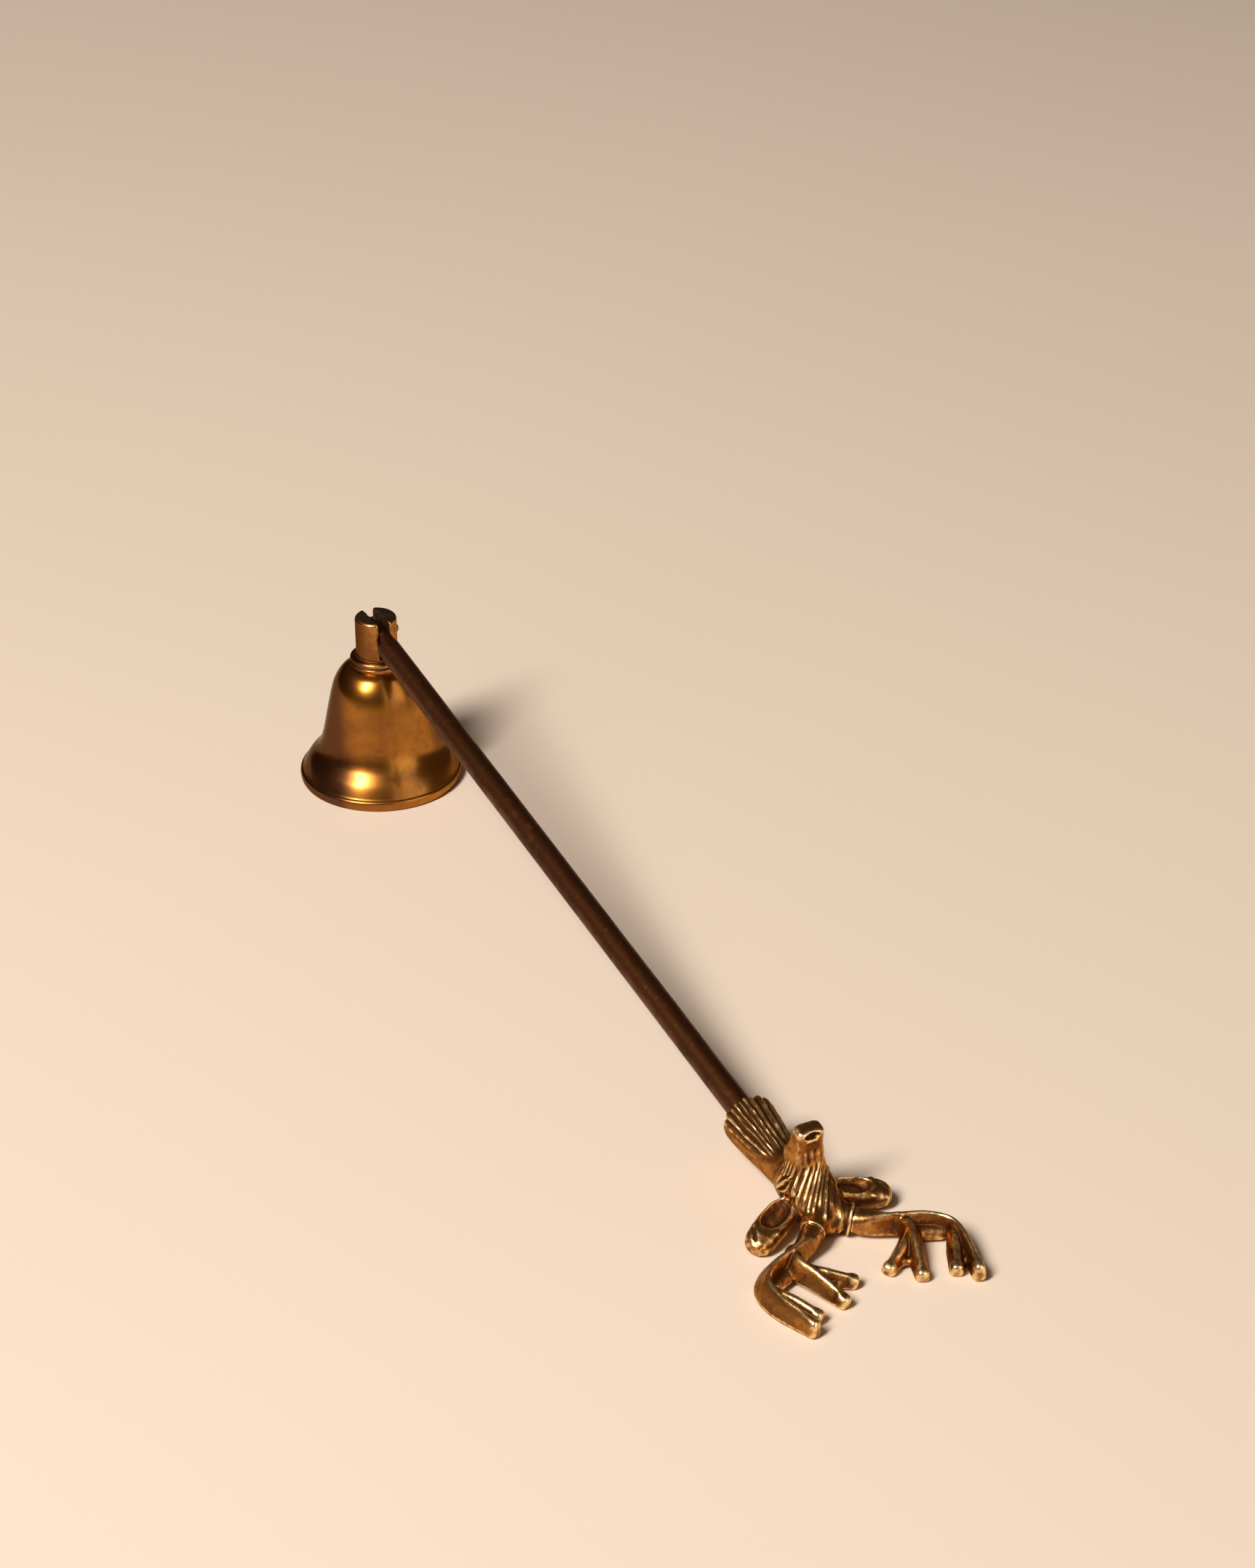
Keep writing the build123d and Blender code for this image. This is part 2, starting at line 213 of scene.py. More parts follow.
def mesh_from(name, verts, faces):
    mesh = bpy.data.meshes.new(name)
    mesh.vertices.add(len(verts))
    mesh.vertices.foreach_set("co", np.asarray(verts, np.float32).ravel())
    mesh.loops.add(faces.size)
    mesh.loops.foreach_set("vertex_index", faces.astype(np.int32).ravel())
    mesh.polygons.add(len(faces))
    sides = faces.shape[1]
    mesh.polygons.foreach_set("loop_start", np.arange(0, faces.size, sides, dtype=np.int32))
    mesh.polygons.foreach_set("loop_total", np.full(len(faces), sides, np.int32))
    mesh.update(calc_edges=True)
    mesh.polygons.foreach_set("use_smooth", np.ones(len(faces), bool))
    return mesh


def soften(verts, faces, rounds, amount):
    """Evens out the small steps of the skin."""
    one, other = np.concatenate([faces[:, [i, (i + 1) % 4]] for i in range(4)]).T
    size = len(verts)
    count = np.bincount(np.concatenate((one, other)), minlength=size)[:, None].astype(float)
    for _ in range(rounds):
        total = np.stack([
            np.bincount(one, verts[other, k], size) + np.bincount(other, verts[one, k], size)
            for k in range(3)
        ], -1)
        verts = verts + amount * (total / count - verts)
    return verts


def outward(verts, faces):
    a, b, c = (verts[faces[:, i]] for i in range(3))
    normal = np.cross(b - a, c - a)
    at = np.zeros_like(verts)
    for i in range(4):
        for k in range(3):
            at[:, k] += np.bincount(faces[:, i], normal[:, k], len(verts))
    return at / (np.linalg.norm(at, axis=1)[:, None] + 1e-12)


def relief(verts, faces, rounds):
    """How far each place stands off its surroundings."""
    even = soften(verts, faces, rounds, 0.8)
    return ((verts - even) * outward(verts, faces)).sum(1)


def cast(name, field, box, step, material, place=to_world, strokes=None):
    """Mesh of a field, in its place, chased with strokes, with its relief kept as attributes."""
    verts, faces = skin(field, *box, step)
    verts = soften(verts, faces, EVEN_ROUNDS, EVEN_AMOUNT)
    if strokes:
        under = soften(verts, faces, 3, 0.6)
        verts = verts + outward(under, faces) * strokes(verts)[:, None]
        verts = soften(verts, faces, CHASED_ROUNDS, CHASED_AMOUNT)
    mesh = mesh_from(name, place(verts) * MM, faces)
    for label, rounds, height in RELIEFS:
        set_values(mesh, label, np.clip(0.5 + 0.5 * relief(verts, faces, rounds) / height, 0, 1))
    mesh.materials.append(material)
    return mesh


def set_values(mesh, label, values):
    layer = mesh.attributes.new(label, "FLOAT", "POINT")
    layer.data.foreach_set("value", values.astype(np.float32))


def add_piece(name, mesh, body, node):
    piece = bpy.data.objects.new(name, mesh)
    bpy.context.scene.collection.objects.link(piece)
    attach(piece, body)
    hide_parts(node)
    return piece


# Shader node groups

def new_group(name, inputs, outputs):
    group = bpy.data.node_groups.new(name, "ShaderNodeTree")
    for label, kind, default in inputs:
        socket = group.interface.new_socket(name=label, in_out="INPUT", socket_type=kind)
        socket.default_value = default
    for label, kind in outputs:
        group.interface.new_socket(name=label, in_out="OUTPUT", socket_type=kind)
    return group, group.nodes.new("NodeGroupInput"), group.nodes.new("NodeGroupOutput")


def add(tree, kind, links=None, **settings):
    node = tree.nodes.new(kind)
    for key, value in settings.items():
        setattr(node, key, value)
    for socket, source in (links or {}).items():
        target = node.inputs[socket]
        if isinstance(source, bpy.types.NodeSocket):
            tree.links.new(source, target)
        else:
            target.default_value = source
    return node


def maths(tree, operation, *values):
    return add(tree, "ShaderNodeMath", dict(enumerate(values)), operation=operation).outputs[0]


def noise(tree, place, scale, detail, roughness=0.5):
    links = {"Vector": place, "Scale": scale, "Detail": detail, "Roughness": roughness}
    return add(tree, "ShaderNodeTexNoise", links).outputs[0]


def object_place(tree):
    return add(tree, "ShaderNodeTexCoord").outputs["Object"]


def mix_colour(tree, factor, a, b):
    return add(tree, "ShaderNodeMix", {0: factor, 6: a, 7: b}, data_type="RGBA").outputs[2]


def between(tree, value, low, high, to_low=0.0, to_high=1.0):
    links = {0: value, 1: low, 2: high, 3: to_low, 4: to_high}
    return add(tree, "ShaderNodeMapRange", links, interpolation_type="SMOOTHSTEP").outputs[0]


def tarnish_group():
    """Cloudy tarnish: clean metal, brown film and dark spots over each other."""
    group, start, end = new_group(
        "tarnish",
        [
            ("Clean", "NodeSocketColor", (0.6, 0.4, 0.15, 1)),
            ("Film", "NodeSocketColor", (0.3, 0.17, 0.06, 1)),
            ("Spots", "NodeSocketColor", (0.05, 0.03, 0.02, 1)),
            ("Cloud Size", "NodeSocketFloat", 120.0),
            ("Film Amount", "NodeSocketFloat", 0.5),
            ("Spot Amount", "NodeSocketFloat", 0.3),
        ],
        [("Color", "NodeSocketColor"), ("Dullness", "NodeSocketFloat")],
    )
    place = object_place(group)
    size = start.outputs["Cloud Size"]
    cloud = noise(group, place, size, 6.0, 0.62)
    speck = noise(group, place, maths(group, "MULTIPLY", size, 5.0), 4.0, 0.6)
    clouded = between(group, cloud, 0.36, 0.64)
    specked = between(group, speck, 0.55, 0.74)
    film = maths(group, "MULTIPLY", clouded, start.outputs["Film Amount"])
    spots = maths(group, "MULTIPLY", specked, start.outputs["Spot Amount"])
    colour = mix_colour(group, film, start.outputs["Clean"], start.outputs["Film"])
    colour = mix_colour(group, spots, colour, start.outputs["Spots"])
    dull = maths(group, "MAXIMUM", film, spots)
    group.links.new(colour, end.inputs["Color"])
    group.links.new(dull, end.inputs["Dullness"])
    return group


def relief_group():
    """Dark in the hollows, as patina and painted shade, and bright on the ridges, as wear and a painted
    highlight, on a casting.
    """
    group, start, end = new_group(
        "relief_wear_and_painted_light",
        [
            ("Color", "NodeSocketColor", (0.4, 0.25, 0.1, 1)),
            ("Recess Patina And Shade Color", "NodeSocketColor", (0.03, 0.015, 0.008, 1)),
            ("Ridge Wear And Highlight Color", "NodeSocketColor", (0.85, 0.62, 0.28, 1)),
            ("Recess Patina And Shade Amount", "NodeSocketFloat", 0.9),
            ("Ridge Wear And Highlight Amount", "NodeSocketFloat", 0.8),
        ],
        [("Color", "NodeSocketColor"), ("Ridge Wear And Highlight", "NodeSocketFloat"), ("Recess Patina And Shade", "NodeSocketFloat")],
    )
    fine = add(group, "ShaderNodeAttribute", attribute_name="fine_relief").outputs["Fac"]
    broad = add(group, "ShaderNodeAttribute", attribute_name="broad_relief").outputs["Fac"]
    grain = noise(group, object_place(group), 900.0, 3.0)
    stray = between(group, grain, 0.3, 0.7, -0.12, 0.12)
    height = maths(group, "ADD", stray, maths(group, "ADD", fine, broad))
    # hollows darken as patina and painted shade, ridges brighten as wear and a painted highlight
    low = between(group, height, 1.02, 0.74)
    high = between(group, height, 1.12, 1.5)
    hollow = maths(group, "MULTIPLY", low, start.outputs["Recess Patina And Shade Amount"])
    wear_and_painted_light = maths(group, "MULTIPLY", high, start.outputs["Ridge Wear And Highlight Amount"])
    colour = mix_colour(group, hollow, start.outputs["Color"], start.outputs["Recess Patina And Shade Color"])
    colour = mix_colour(group, wear_and_painted_light, colour, start.outputs["Ridge Wear And Highlight Color"])
    group.links.new(colour, end.inputs["Color"])
    group.links.new(wear_and_painted_light, end.inputs["Ridge Wear And Highlight"])
    group.links.new(hollow, end.inputs["Recess Patina And Shade"])
    return group


def scratches_group():
    """Fine rubbing marks drawn out along one direction, as a height."""
    group, start, end = new_group(
        "rubbing_marks",
        [("Stretch", "NodeSocketVector", (1, 1, 12)), ("Size", "NodeSocketFloat", 900.0)],
        [("Height", "NodeSocketFloat")],
    )
    links = {0: object_place(group), 1: start.outputs["Stretch"]}
    drawn = add(group, "ShaderNodeVectorMath", links, operation="MULTIPLY").outputs[0]
    marks = noise(group, drawn, start.outputs["Size"], 4.0, 0.65)
    group.links.new(marks, end.inputs["Height"])
    return group


TARNISH = tarnish_group()
RELIEF = relief_group()
MARKS = scratches_group()


# Level direction from the middle of the bell to the side that a painted dark reflection darkens
PAINTED_DARK_SIDE = (-0.471, -0.882, 0.0)
MARKS_DEPTH = 0.0001
COAT_ROUGHNESS = 0.10


def grouped(tree, group, values):
    node = add(tree, "ShaderNodeGroup", node_tree=group)
    for label, value in values.items():
        if isinstance(value, bpy.types.NodeSocket):
            tree.links.new(value, node.inputs[label])
        else:
            node.inputs[label].default_value = value
    return node


def metal(name, tones, rough, bump, marks, wear_and_painted_light=None, painted_dark_side=None, cut_and_painted_shade=None, coat=0.0,
          edge=(1, 1, 1, 1)):
    """Tarnished metal, if wanted with wear, patina and painted shade and highlight on its relief, a
    painted dark reflection on one side and dark rough cut places with painted shade.
    """
    material = bpy.data.materials.new(name)
    material.use_nodes = True
    tree = material.node_tree
    tree.nodes.clear()
    film = grouped(tree, TARNISH, tones)
    colour = film.outputs["Color"]
    roughness = between(tree, film.outputs["Dullness"], 0.0, 1.0, *rough)
    # Relief tones: hollows darkened as patina and painted shade, ridges brightened as wear and a
    # painted highlight
    if wear_and_painted_light:
        worn = grouped(tree, RELIEF, {"Color": colour, **wear_and_painted_light})
        colour = worn.outputs["Color"]
        smoother = maths(tree, "MULTIPLY", worn.outputs["Ridge Wear And Highlight"], -0.05)
        rougher = maths(tree, "MULTIPLY_ADD", worn.outputs["Recess Patina And Shade"], 0.25, smoother)
        roughness = maths(tree, "ADD", roughness, rougher)
    # Painted dark reflection: the colour darkens towards one side
    if painted_dark_side:
        low, high, brown = painted_dark_side
        place = object_place(tree)
        links = {0: place, 1: PAINTED_DARK_SIDE}
        aside = add(tree, "ShaderNodeVectorMath", links, operation="DOT_PRODUCT").outputs["Value"]
        aside = maths(tree, "MULTIPLY_ADD", noise(tree, place, 60.0, 3.0), 0.006, aside)
        colour = mix_colour(tree, between(tree, aside, low, high), colour, brown)
    # Cut places in the slot and on the top: dark rough cut metal, darkened further as painted shade
    if cut_and_painted_shade:
        cut = add(tree, "ShaderNodeAttribute", attribute_name="cut_and_painted_shade").outputs["Fac"]
        colour = mix_colour(tree, cut, colour, cut_and_painted_shade)
        roughness = maths(tree, "MULTIPLY_ADD", cut, 0.28, roughness)
    height = grouped(tree, MARKS, marks).outputs["Height"]
    raised = add(tree, "ShaderNodeBump", {"Strength": bump, "Distance": MARKS_DEPTH, "Height": height})
    shader = add(tree, "ShaderNodeBsdfPrincipled", {
        "Base Color": colour,
        "Roughness": roughness,
        "Metallic": 1.0,
        "Coat Weight": coat,
        "Coat Roughness": COAT_ROUGHNESS,
        "Specular Tint": edge,
        "Normal": raised.outputs[0],
    })
    out = add(tree, "ShaderNodeOutputMaterial")
    tree.links.new(shader.outputs[0], out.inputs[0])
    return material


def tarnished(clean, film, spots, cloud, film_amount, spot_amount):
    return {
        "Clean": (*clean, 1), "Film": (*film, 1), "Spots": (*spots, 1),
        "Cloud Size": cloud, "Film Amount": film_amount, "Spot Amount": spot_amount,
    }


# Relief tones: dark hollows as patina and painted shade, bright ridges as wear and a painted highlight
def rubbing(hollow, ridge, hollow_amount, ridge_amount):
    return {
        "Recess Patina And Shade Color": (*hollow, 1), "Ridge Wear And Highlight Color": (*ridge, 1),
        "Recess Patina And Shade Amount": hollow_amount, "Ridge Wear And Highlight Amount": ridge_amount,
    }


BRASS_EDGE = (0.52, 0.46, 0.38, 1)
BELL_BRASS = metal(
    "bell_brass",
    tarnished((0.49, 0.200, 0.026), (0.28, 0.102, 0.020), (0.09, 0.030, 0.010), 55.0, 0.9, 0.3),
    rough=(0.23, 0.31),
    bump=0.10,
    marks={"Stretch": (1, 1, 6), "Size": 500.0},
    # painted dark reflection on one side of the bell
    painted_dark_side=(0.0074, 0.0124, (0.135, 0.052, 0.019, 1)),
    coat=0.15,
    edge=BRASS_EDGE,
)
FORK_BRASS = metal(
    "fork_brass",
    tarnished((0.50, 0.215, 0.055), (0.27, 0.100, 0.030), (0.06, 0.024, 0.010), 160.0, 0.9, 0.5),
    rough=(0.26, 0.38),
    bump=0.35,
    marks={"Stretch": (1, 1, 0.08), "Size": 900.0},
    # painted shade and highlight on the relief, a painted dark reflection on one side, painted shade on
    # the cut places
    wear_and_painted_light=rubbing((0.05, 0.02, 0.01), (0.80, 0.50, 0.18), 0.7, 0.6),
    painted_dark_side=(0.003, 0.008, (0.16, 0.060, 0.020, 1)),
    cut_and_painted_shade=(0.085, 0.048, 0.028, 1),
    edge=BRASS_EDGE,
)
PIN_BRASS = metal(
    "pin_brass",
    tarnished((0.36, 0.20, 0.075), (0.20, 0.10, 0.04), (0.05, 0.03, 0.02), 300.0, 0.6, 0.5),
    rough=(0.28, 0.45),
    bump=0.2,
    marks={"Stretch": (4, 1, 4), "Size": 700.0},
)
ROD_BRONZE = metal(
    "rod_bronze",
    tarnished((0.130, 0.046, 0.016), (0.066, 0.022, 0.009), (0.23, 0.10, 0.036), 130.0, 0.85, 0.5),
    rough=(0.44, 0.58),
    bump=0.16,
    marks={"Stretch": (1, 1.6, 1.6), "Size": 700.0},
)
CAST_BRASS = metal(
    "cast_brass",
    tarnished((0.50, 0.225, 0.056), (0.28, 0.108, 0.030), (0.11, 0.042, 0.015), 240.0, 0.95, 0.5),
    rough=(0.26, 0.40),
    bump=0.90,
    marks={"Stretch": (1, 1, 1), "Size": 620.0},
    # painted shade in the hollows and a painted highlight on the ridges, over patina and wear
    wear_and_painted_light=rubbing((0.075, 0.028, 0.010), (1.0, 0.74, 0.37), 0.92, 0.9),
    edge=(0.58, 0.52, 0.44, 1),
)

# Pin, screw and washer: the solids' own meshes, merged and finished
BELL_BODY = "snuffer bell"
HANDLE = "handle"
SAME_POINT = 1e-6
SOLID_SHARP, TURNED_SHARP = radians(35), radians(38)


def finish_mesh(mesh, material, sharp):
    mesh.materials.clear()
    mesh.materials.append(material)
    mesh.polygons.foreach_set("material_index", np.zeros(len(mesh.polygons), np.int32))
    mesh.polygons.foreach_set("use_smooth", np.ones(len(mesh.polygons), bool))
    mesh.set_sharp_from_angle(angle=sharp)


def clean_copy(node):
    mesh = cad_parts[node].data.copy()
    work = bmesh.new()
    work.from_mesh(mesh)
    bmesh.ops.remove_doubles(work, verts=work.verts, dist=SAME_POINT)
    work.to_mesh(mesh)
    work.free()
    finish_mesh(mesh, PIN_BRASS, SOLID_SHARP)
    return add_piece(node + "_finished", mesh, BELL_BODY, node)


hinge_pin = clean_copy("hinge_pin")
clean_copy("crown_screw")
clean_copy("crown_washer")

# The pin's far end stops inside the fork, where it was dressed over
PIN_FAR_END = -4.1
for v in hinge_pin.data.vertices:
    v.co.y = max(v.co.y, PIN_FAR_END * MM)


# Stag's head: neck, skull, muzzle, ears

def comb(x):
    """Rows of round locks: 0 in each furrow, 1 on each crest."""
    return 0.5 - 0.5 * np.cos(2 * pi * x)


def chance(lot, a, b):
    """A steady share from 0 to 1 for each row."""
    return 0.5 + 0.5 * np.sin(a * lot + b)


def block(p, a, b, at_a, at_b, cap, power):
    """Bar from a to b with a rounded box section: half width along y, half depth the other way."""
    a, b = np.array(a, float), np.array(b, float)
    ab = b - a
    t = np.clip(((p - a) @ ab) / (ab @ ab), 0, 1)
    o = p - a - t[:, None] * ab
    run = ab / np.linalg.norm(ab)
    deep = np.cross(run, (0, 1, 0))
    width = at_a[0] + (at_b[0] - at_a[0]) * t
    depth = at_a[1] + (at_b[1] - at_a[1]) * t
    shares = (np.abs(o[:, 1]) / width, np.abs(o @ deep) / depth, np.abs(o @ run) / cap)
    size = sum(share ** power for share in shares) ** (1 / power)
    return (size - 1) * np.minimum(np.minimum(width, depth), cap) * 0.95


EAR_ROOT = np.array((27.0, 4.4, 0.4))
RIGHT_EAR_TIP = np.array((31.8, 16.9, -1.3))
LEFT_EAR_TIP = np.array((34.4, 17.0, -1.5))
EAR_PLACES = (-0.12, 0.0, 0.20, 0.50, 0.80, 0.93, 1.0, 1.03)
EAR_WIDTHS = (0.2, 1.8, 3.1, 3.5, 3.3, 2.7, 1.6, 0.1)
EAR_DEPTHS = (0.2, 1.7, 2.5, 2.7, 2.5, 2.0, 1.2, 0.1)
EAR_POWER = 2.4
EAR_SCALE = 13.5
NECK_PLACES = (-1.0, 0.6, 2.0, 4.0, 9.0, 15.0, 20.0, 26.0)
NECK_RADII = (5.2, 5.5, 5.72, 5.70, 5.25, 4.60, 4.25, 4.30)
BORE_RADIUS, BORE_DEPTH = 2.9, 13.9
HEAD_CLEARANCE = 0.25
LEFT_RIM_SUNK = 1.3


def ear(q, tip):
    """Thick boat-shaped ear, hollowed near its root, with a lip across and a solid blunt tip."""
    length = np.linalg.norm(tip - EAR_ROOT)
    run = (tip - EAR_ROOT) / length
    across = np.cross((0, 0, 1), run)
    across /= np.linalg.norm(across)
    r = q - EAR_ROOT
    t = (r @ run) / length
    x = r @ across
    y = r @ np.cross(run, across)
    width = np.interp(t, EAR_PLACES, EAR_WIDTHS)
    depth = np.interp(t, EAR_PLACES, EAR_DEPTHS)
    size = ((np.abs(x) / width) ** EAR_POWER + (np.abs(y) / depth) ** EAR_POWER) ** (1 / EAR_POWER)
    hull = (size - 1) * np.minimum(width, depth) * 0.85
    over = np.maximum(np.abs(t - 0.46) - 0.57, 0) * length
    hull = np.maximum(hull, over - 0.05) + over * 0.5
    place = np.stack((t * EAR_SCALE, x, y), -1)
    hull = carve(hull, egg(place, (4.9, 0.2, 2.6), (4.2, 2.45, 2.5)), 0.30)
    hull = join(hull, egg(place, (4.6, 0.3, 0.2), (2.4, 1.2, 0.55)), 0.5)
    hull = join(hull, capsule(place, (9.0, -2.5, 1.7), (9.4, 2.5, 1.7), 0.55, 0.55), 0.35)
    return carve(hull, capsule(place, (10.0, 2.4, 2.3), (12.6, 0.2, 2.1), 0.30, 0.25), 0.3)


def stag(p):
    a, y, w = p[:, 0], p[:, 1], p[:, 2]
    q = np.stack((a, np.abs(y), w), -1)
    # Neck, flared at the rod and waisted behind the head
    thick = np.interp(a, NECK_PLACES, NECK_RADII)
    neck = (np.hypot(y, w - 0.03 * np.maximum(a - 6.0, 0)) - thick) * 0.95
    neck = np.maximum(neck, a - 27.0)
    neck = -join(-neck, a - 0.55, 0.8)
    # Skull, sloping from the brow to the poll
    skull = capsule(q, (24.0, 0, 1.7), (30.0, 0, 0.7), 4.7, 4.3, (1, 0.84, 1))
    skull = join(skull, capsule(q, (30.0, 0, 0.7), (35.0, 0, -0.3), 4.2, 2.3, (1, 0.78, 1)), 1.2)
    head = join(neck, skull, 1.6)
    brow = block(q, (25.3, 0, 4.6), (35.0, 0, 0.5), (2.5, 2.6), (5.6, 2.1), 1.3, 2.6)
    head = join(head, brow, 1.0)
    # Muzzle, jaw and cheeks
    muzzle = block(q, (24.4, 0, 3.2), (23.0, 0, 9.4), (4.9, 4.2), (3.50, 3.05), 2.0, 2.9)
    snout = block(q, (23.0, 0, 9.4), (23.5, 0, 15.4), (3.35, 2.9), (3.15, 1.9), 1.6, 4.0)
    muzzle = join(muzzle, snout, 0.8)
    muzzle = join(muzzle, capsule(q, (20.4, 0, 8.6), (19.6, 0, 3.4), 1.9, 3.0), 1.4)
    head = join(head, muzzle, 1.6)
    head = join(head, egg(q, (23.8, 2.9, 4.2), (2.7, 1.7, 2.6)), 1.0)
    # Brow and the dark corner behind the eye
    head = join(head, capsule(q, (25.6, 2.9, 7.0), (28.6, 4.6, 4.0), 0.60, 0.62), 0.5)
    head = carve(head, egg(q, (27.6, 5.6, 2.2), (1.0, 1.0, 0.8)), 0.5)
    # Nose: a broad hollow under a thin flat rim, and the mouth at the sides
    head = carve(head, egg(q, (25.6, 0.15, 15.75), (1.8, 1.65, 0.85)), 0.2)
    head = join(head, capsule(q, (25.3, -1.5, 14.45), (25.3, 1.0, 14.45), 0.26, 0.26), 0.25)
    head = carve(head, capsule(q, (22.6, 3.5, 16.0), (20.6, 3.9, 8.6), 0.28, 0.22), 0.3)
    # Ears, and the stumps that carry the antlers, with a flared rim that stands out on the right
    head = join(head, np.where(y < 0, ear(q, LEFT_EAR_TIP), ear(q, RIGHT_EAR_TIP)), 0.6)
    root = np.array(ANTLER_ROOT)
    stump = capsule(q, (32.6, 0.8, 0.5), root - 0.3 * ROOT_RUN, 3.0, 2.65)
    head = join(head, stump, 1.2)
    beyond = (q - root) @ ROOT_RUN
    side = (q - root) - beyond[:, None] * ROOT_RUN
    tall = np.where(side[:, 2] > 0, 0.82, 0.62)
    out = np.sqrt(side[:, 0] ** 2 + side[:, 1] ** 2 + (tall * side[:, 2]) ** 2)
    rim = np.hypot(np.maximum(out - 2.45, 0), (beyond + 0.40) * 1.7) - 0.45
    head = join(head, np.where(y < 0, rim + LEFT_RIM_SUNK, rim), 1.3)
    near = np.linalg.norm(q - root, axis=-1) - 4.8
    head = np.maximum(head, -np.maximum(-beyond, near))
    # Bore for the rod, and clear of the table
    bore = np.maximum(np.hypot(y, w) - BORE_RADIUS, a - BORE_DEPTH)
    head = np.maximum(head, -bore)
    return np.maximum(head, HEAD_CLEARANCE - table_height(p))


EYE = np.array((24.9, 4.3, 4.4))
EYE_RUN = np.array((0.46, 0.0, 0.89))
EYE_ACROSS = np.array((0.89, 0.0, -0.46))
RIGHT_EYE_DEPTH = 0.45
FAN_MIDDLE, FAN_STRIP = (19.5, 8.0), radians(4.5)
NECK_TURN = radians(15)


def stag_strokes(p):
    """Locks on the neck, brushed hair on the forehead, eyes and cheeks, as heights on the skin."""
    a, y, w = p.T
    # Neck locks, drawn together towards the head
    spread = np.interp(a, (0, 6, 14, 18), np.radians((82, 76, 64, 56)))
    t = (np.arctan2(y, w) + NECK_TURN) / spread
    row = 5.4 * t + 0.35 * np.sin(5.1 * t + 0.8) + 0.05 * np.sin(0.7 * a + 7 * t)
    lot = np.floor(row)
    on_top = 1 - ramp(np.abs(t), 0.82, 1.05)
    near_rod = np.hypot(y, w) < 7.5
    longer = 4.0 * chance(lot, 1.7, 0.3)
    on_neck = on_top * (1 - ramp(a, 11.0 + longer, 14.5 + longer)) * near_rod
    tuft = 0.82 + 0.18 * np.sin(a / 0.62 + 2.3 * lot) * np.sin(a / 2.1 + 1.3 * lot)
    height = on_neck * comb(row) * tuft * (0.35 + 0.65 * chance(lot, 2.9, 0.7)) * 0.95
    height -= 0.30 * on_top * (1 - ramp(a, 11.0, 17.0)) * near_rod
    # Forehead hair, fanned out in straight strokes from the foot of the muzzle
    beyond, across = a - FAN_MIDDLE[0], y - FAN_MIDDLE[1]
    turn = np.arctan2(across, np.maximum(beyond, 0.2))
    reach = np.hypot(across, beyond)
    upper = ramp(w - (6.9 - 0.66 * (a - 25.0)), -3.2, -1.2) * (1 - ramp(w, 6.8, 10.0))
    upper = upper * (1 - ramp(np.abs(y + 0.6), 3.8, 5.0))
    strip = turn / FAN_STRIP + 0.30 * np.sin(11 * turn + 1.0)
    lot = np.floor(strip)
    start = 7.6 + 1.8 * chance(lot, 4.1, 0.6)
    stop = 15.4 + 3.2 * chance(lot, 2.7, 2.0)
    fanned = upper * ramp(turn, radians(-80), radians(-70)) * (1 - 0.75 * ramp(y, 0.4, 2.2))
    grown = ramp(reach, start, start + 1.4) * (1 - ramp(reach, stop, stop + 1.5))
    height += fanned * (grown * comb(strip) * (0.34 + 0.44 * chance(lot, 2.7, 2.0)) - 0.14)
    # Long planes down the bridge of the nose
    bridge = ramp(w, 7.4, 10.0) * (1 - ramp(w, 11.8, 12.6)) * ramp(a, 23.2, 24.6)
    height += bridge * 0.16 * (comb(y / 1.5 + 0.5) - 0.5)
    # Eyes, each a long bead in a groove between lids
    side = ramp(np.abs(y), 2.6, 3.4)
    r = np.stack((a, np.abs(y), w), -1) - EYE
    taper = np.maximum(1 - (r @ EYE_RUN / 2.7) ** 2, 0.0)
    from_middle = r @ EYE_ACROSS
    ring = np.abs(from_middle) / np.maximum(taper, 0.12)
    near_eye = side * ramp(taper, 0.0, 0.35) * np.where(y < 0, 1.0, RIGHT_EYE_DEPTH)
    groove = np.exp(-((ring - 0.98) / 0.26) ** 2)
    lid = np.exp(-((ring - 1.50) / 0.28) ** 2) * (0.35 + 0.65 * ramp(from_middle, -0.2, 0.2))
    height += near_eye * (0.62 * (1 - ramp(ring, 0.20, 0.72)) - 0.40 * groove)
    height += near_eye * 0.30 * lid
    # Short strokes on the cheek
    cheek = ramp(a, 18.8, 20.5) * (1 - ramp(a, 24.0, 26.0)) * side * (1 - ramp(w, 6.5, 8.5))
    cheek = cheek * ramp(w, -2.5, -0.5) * ramp(np.abs(from_middle), 1.5, 2.2)
    slant = (a * 0.89 - w * 0.46) / 1.25 + 0.2 * np.sin(1.1 * w)
    broken = 0.5 + 0.5 * np.sin(0.9 * w + 2.0 * np.floor(slant))
    height += cheek * 0.16 * (comb(slant) - 0.5) * broken
    return height


# Antlers: places are shares of their reach, half span and rise
def antler_point(along, out, rise):
    reach, half_span = along * ANTLER_REACH, out * ANTLER_SPAN / 2
    return np.array((ANTLER_ROOT[0] + reach, half_span, rise * ANTLER_RISE))


def prong_tip(along, out):
    point = antler_point(along, out, 0.0)
    point[2] += (PRONG_RADIUS - table_height(point)) / ROD_UP[2]
    return point


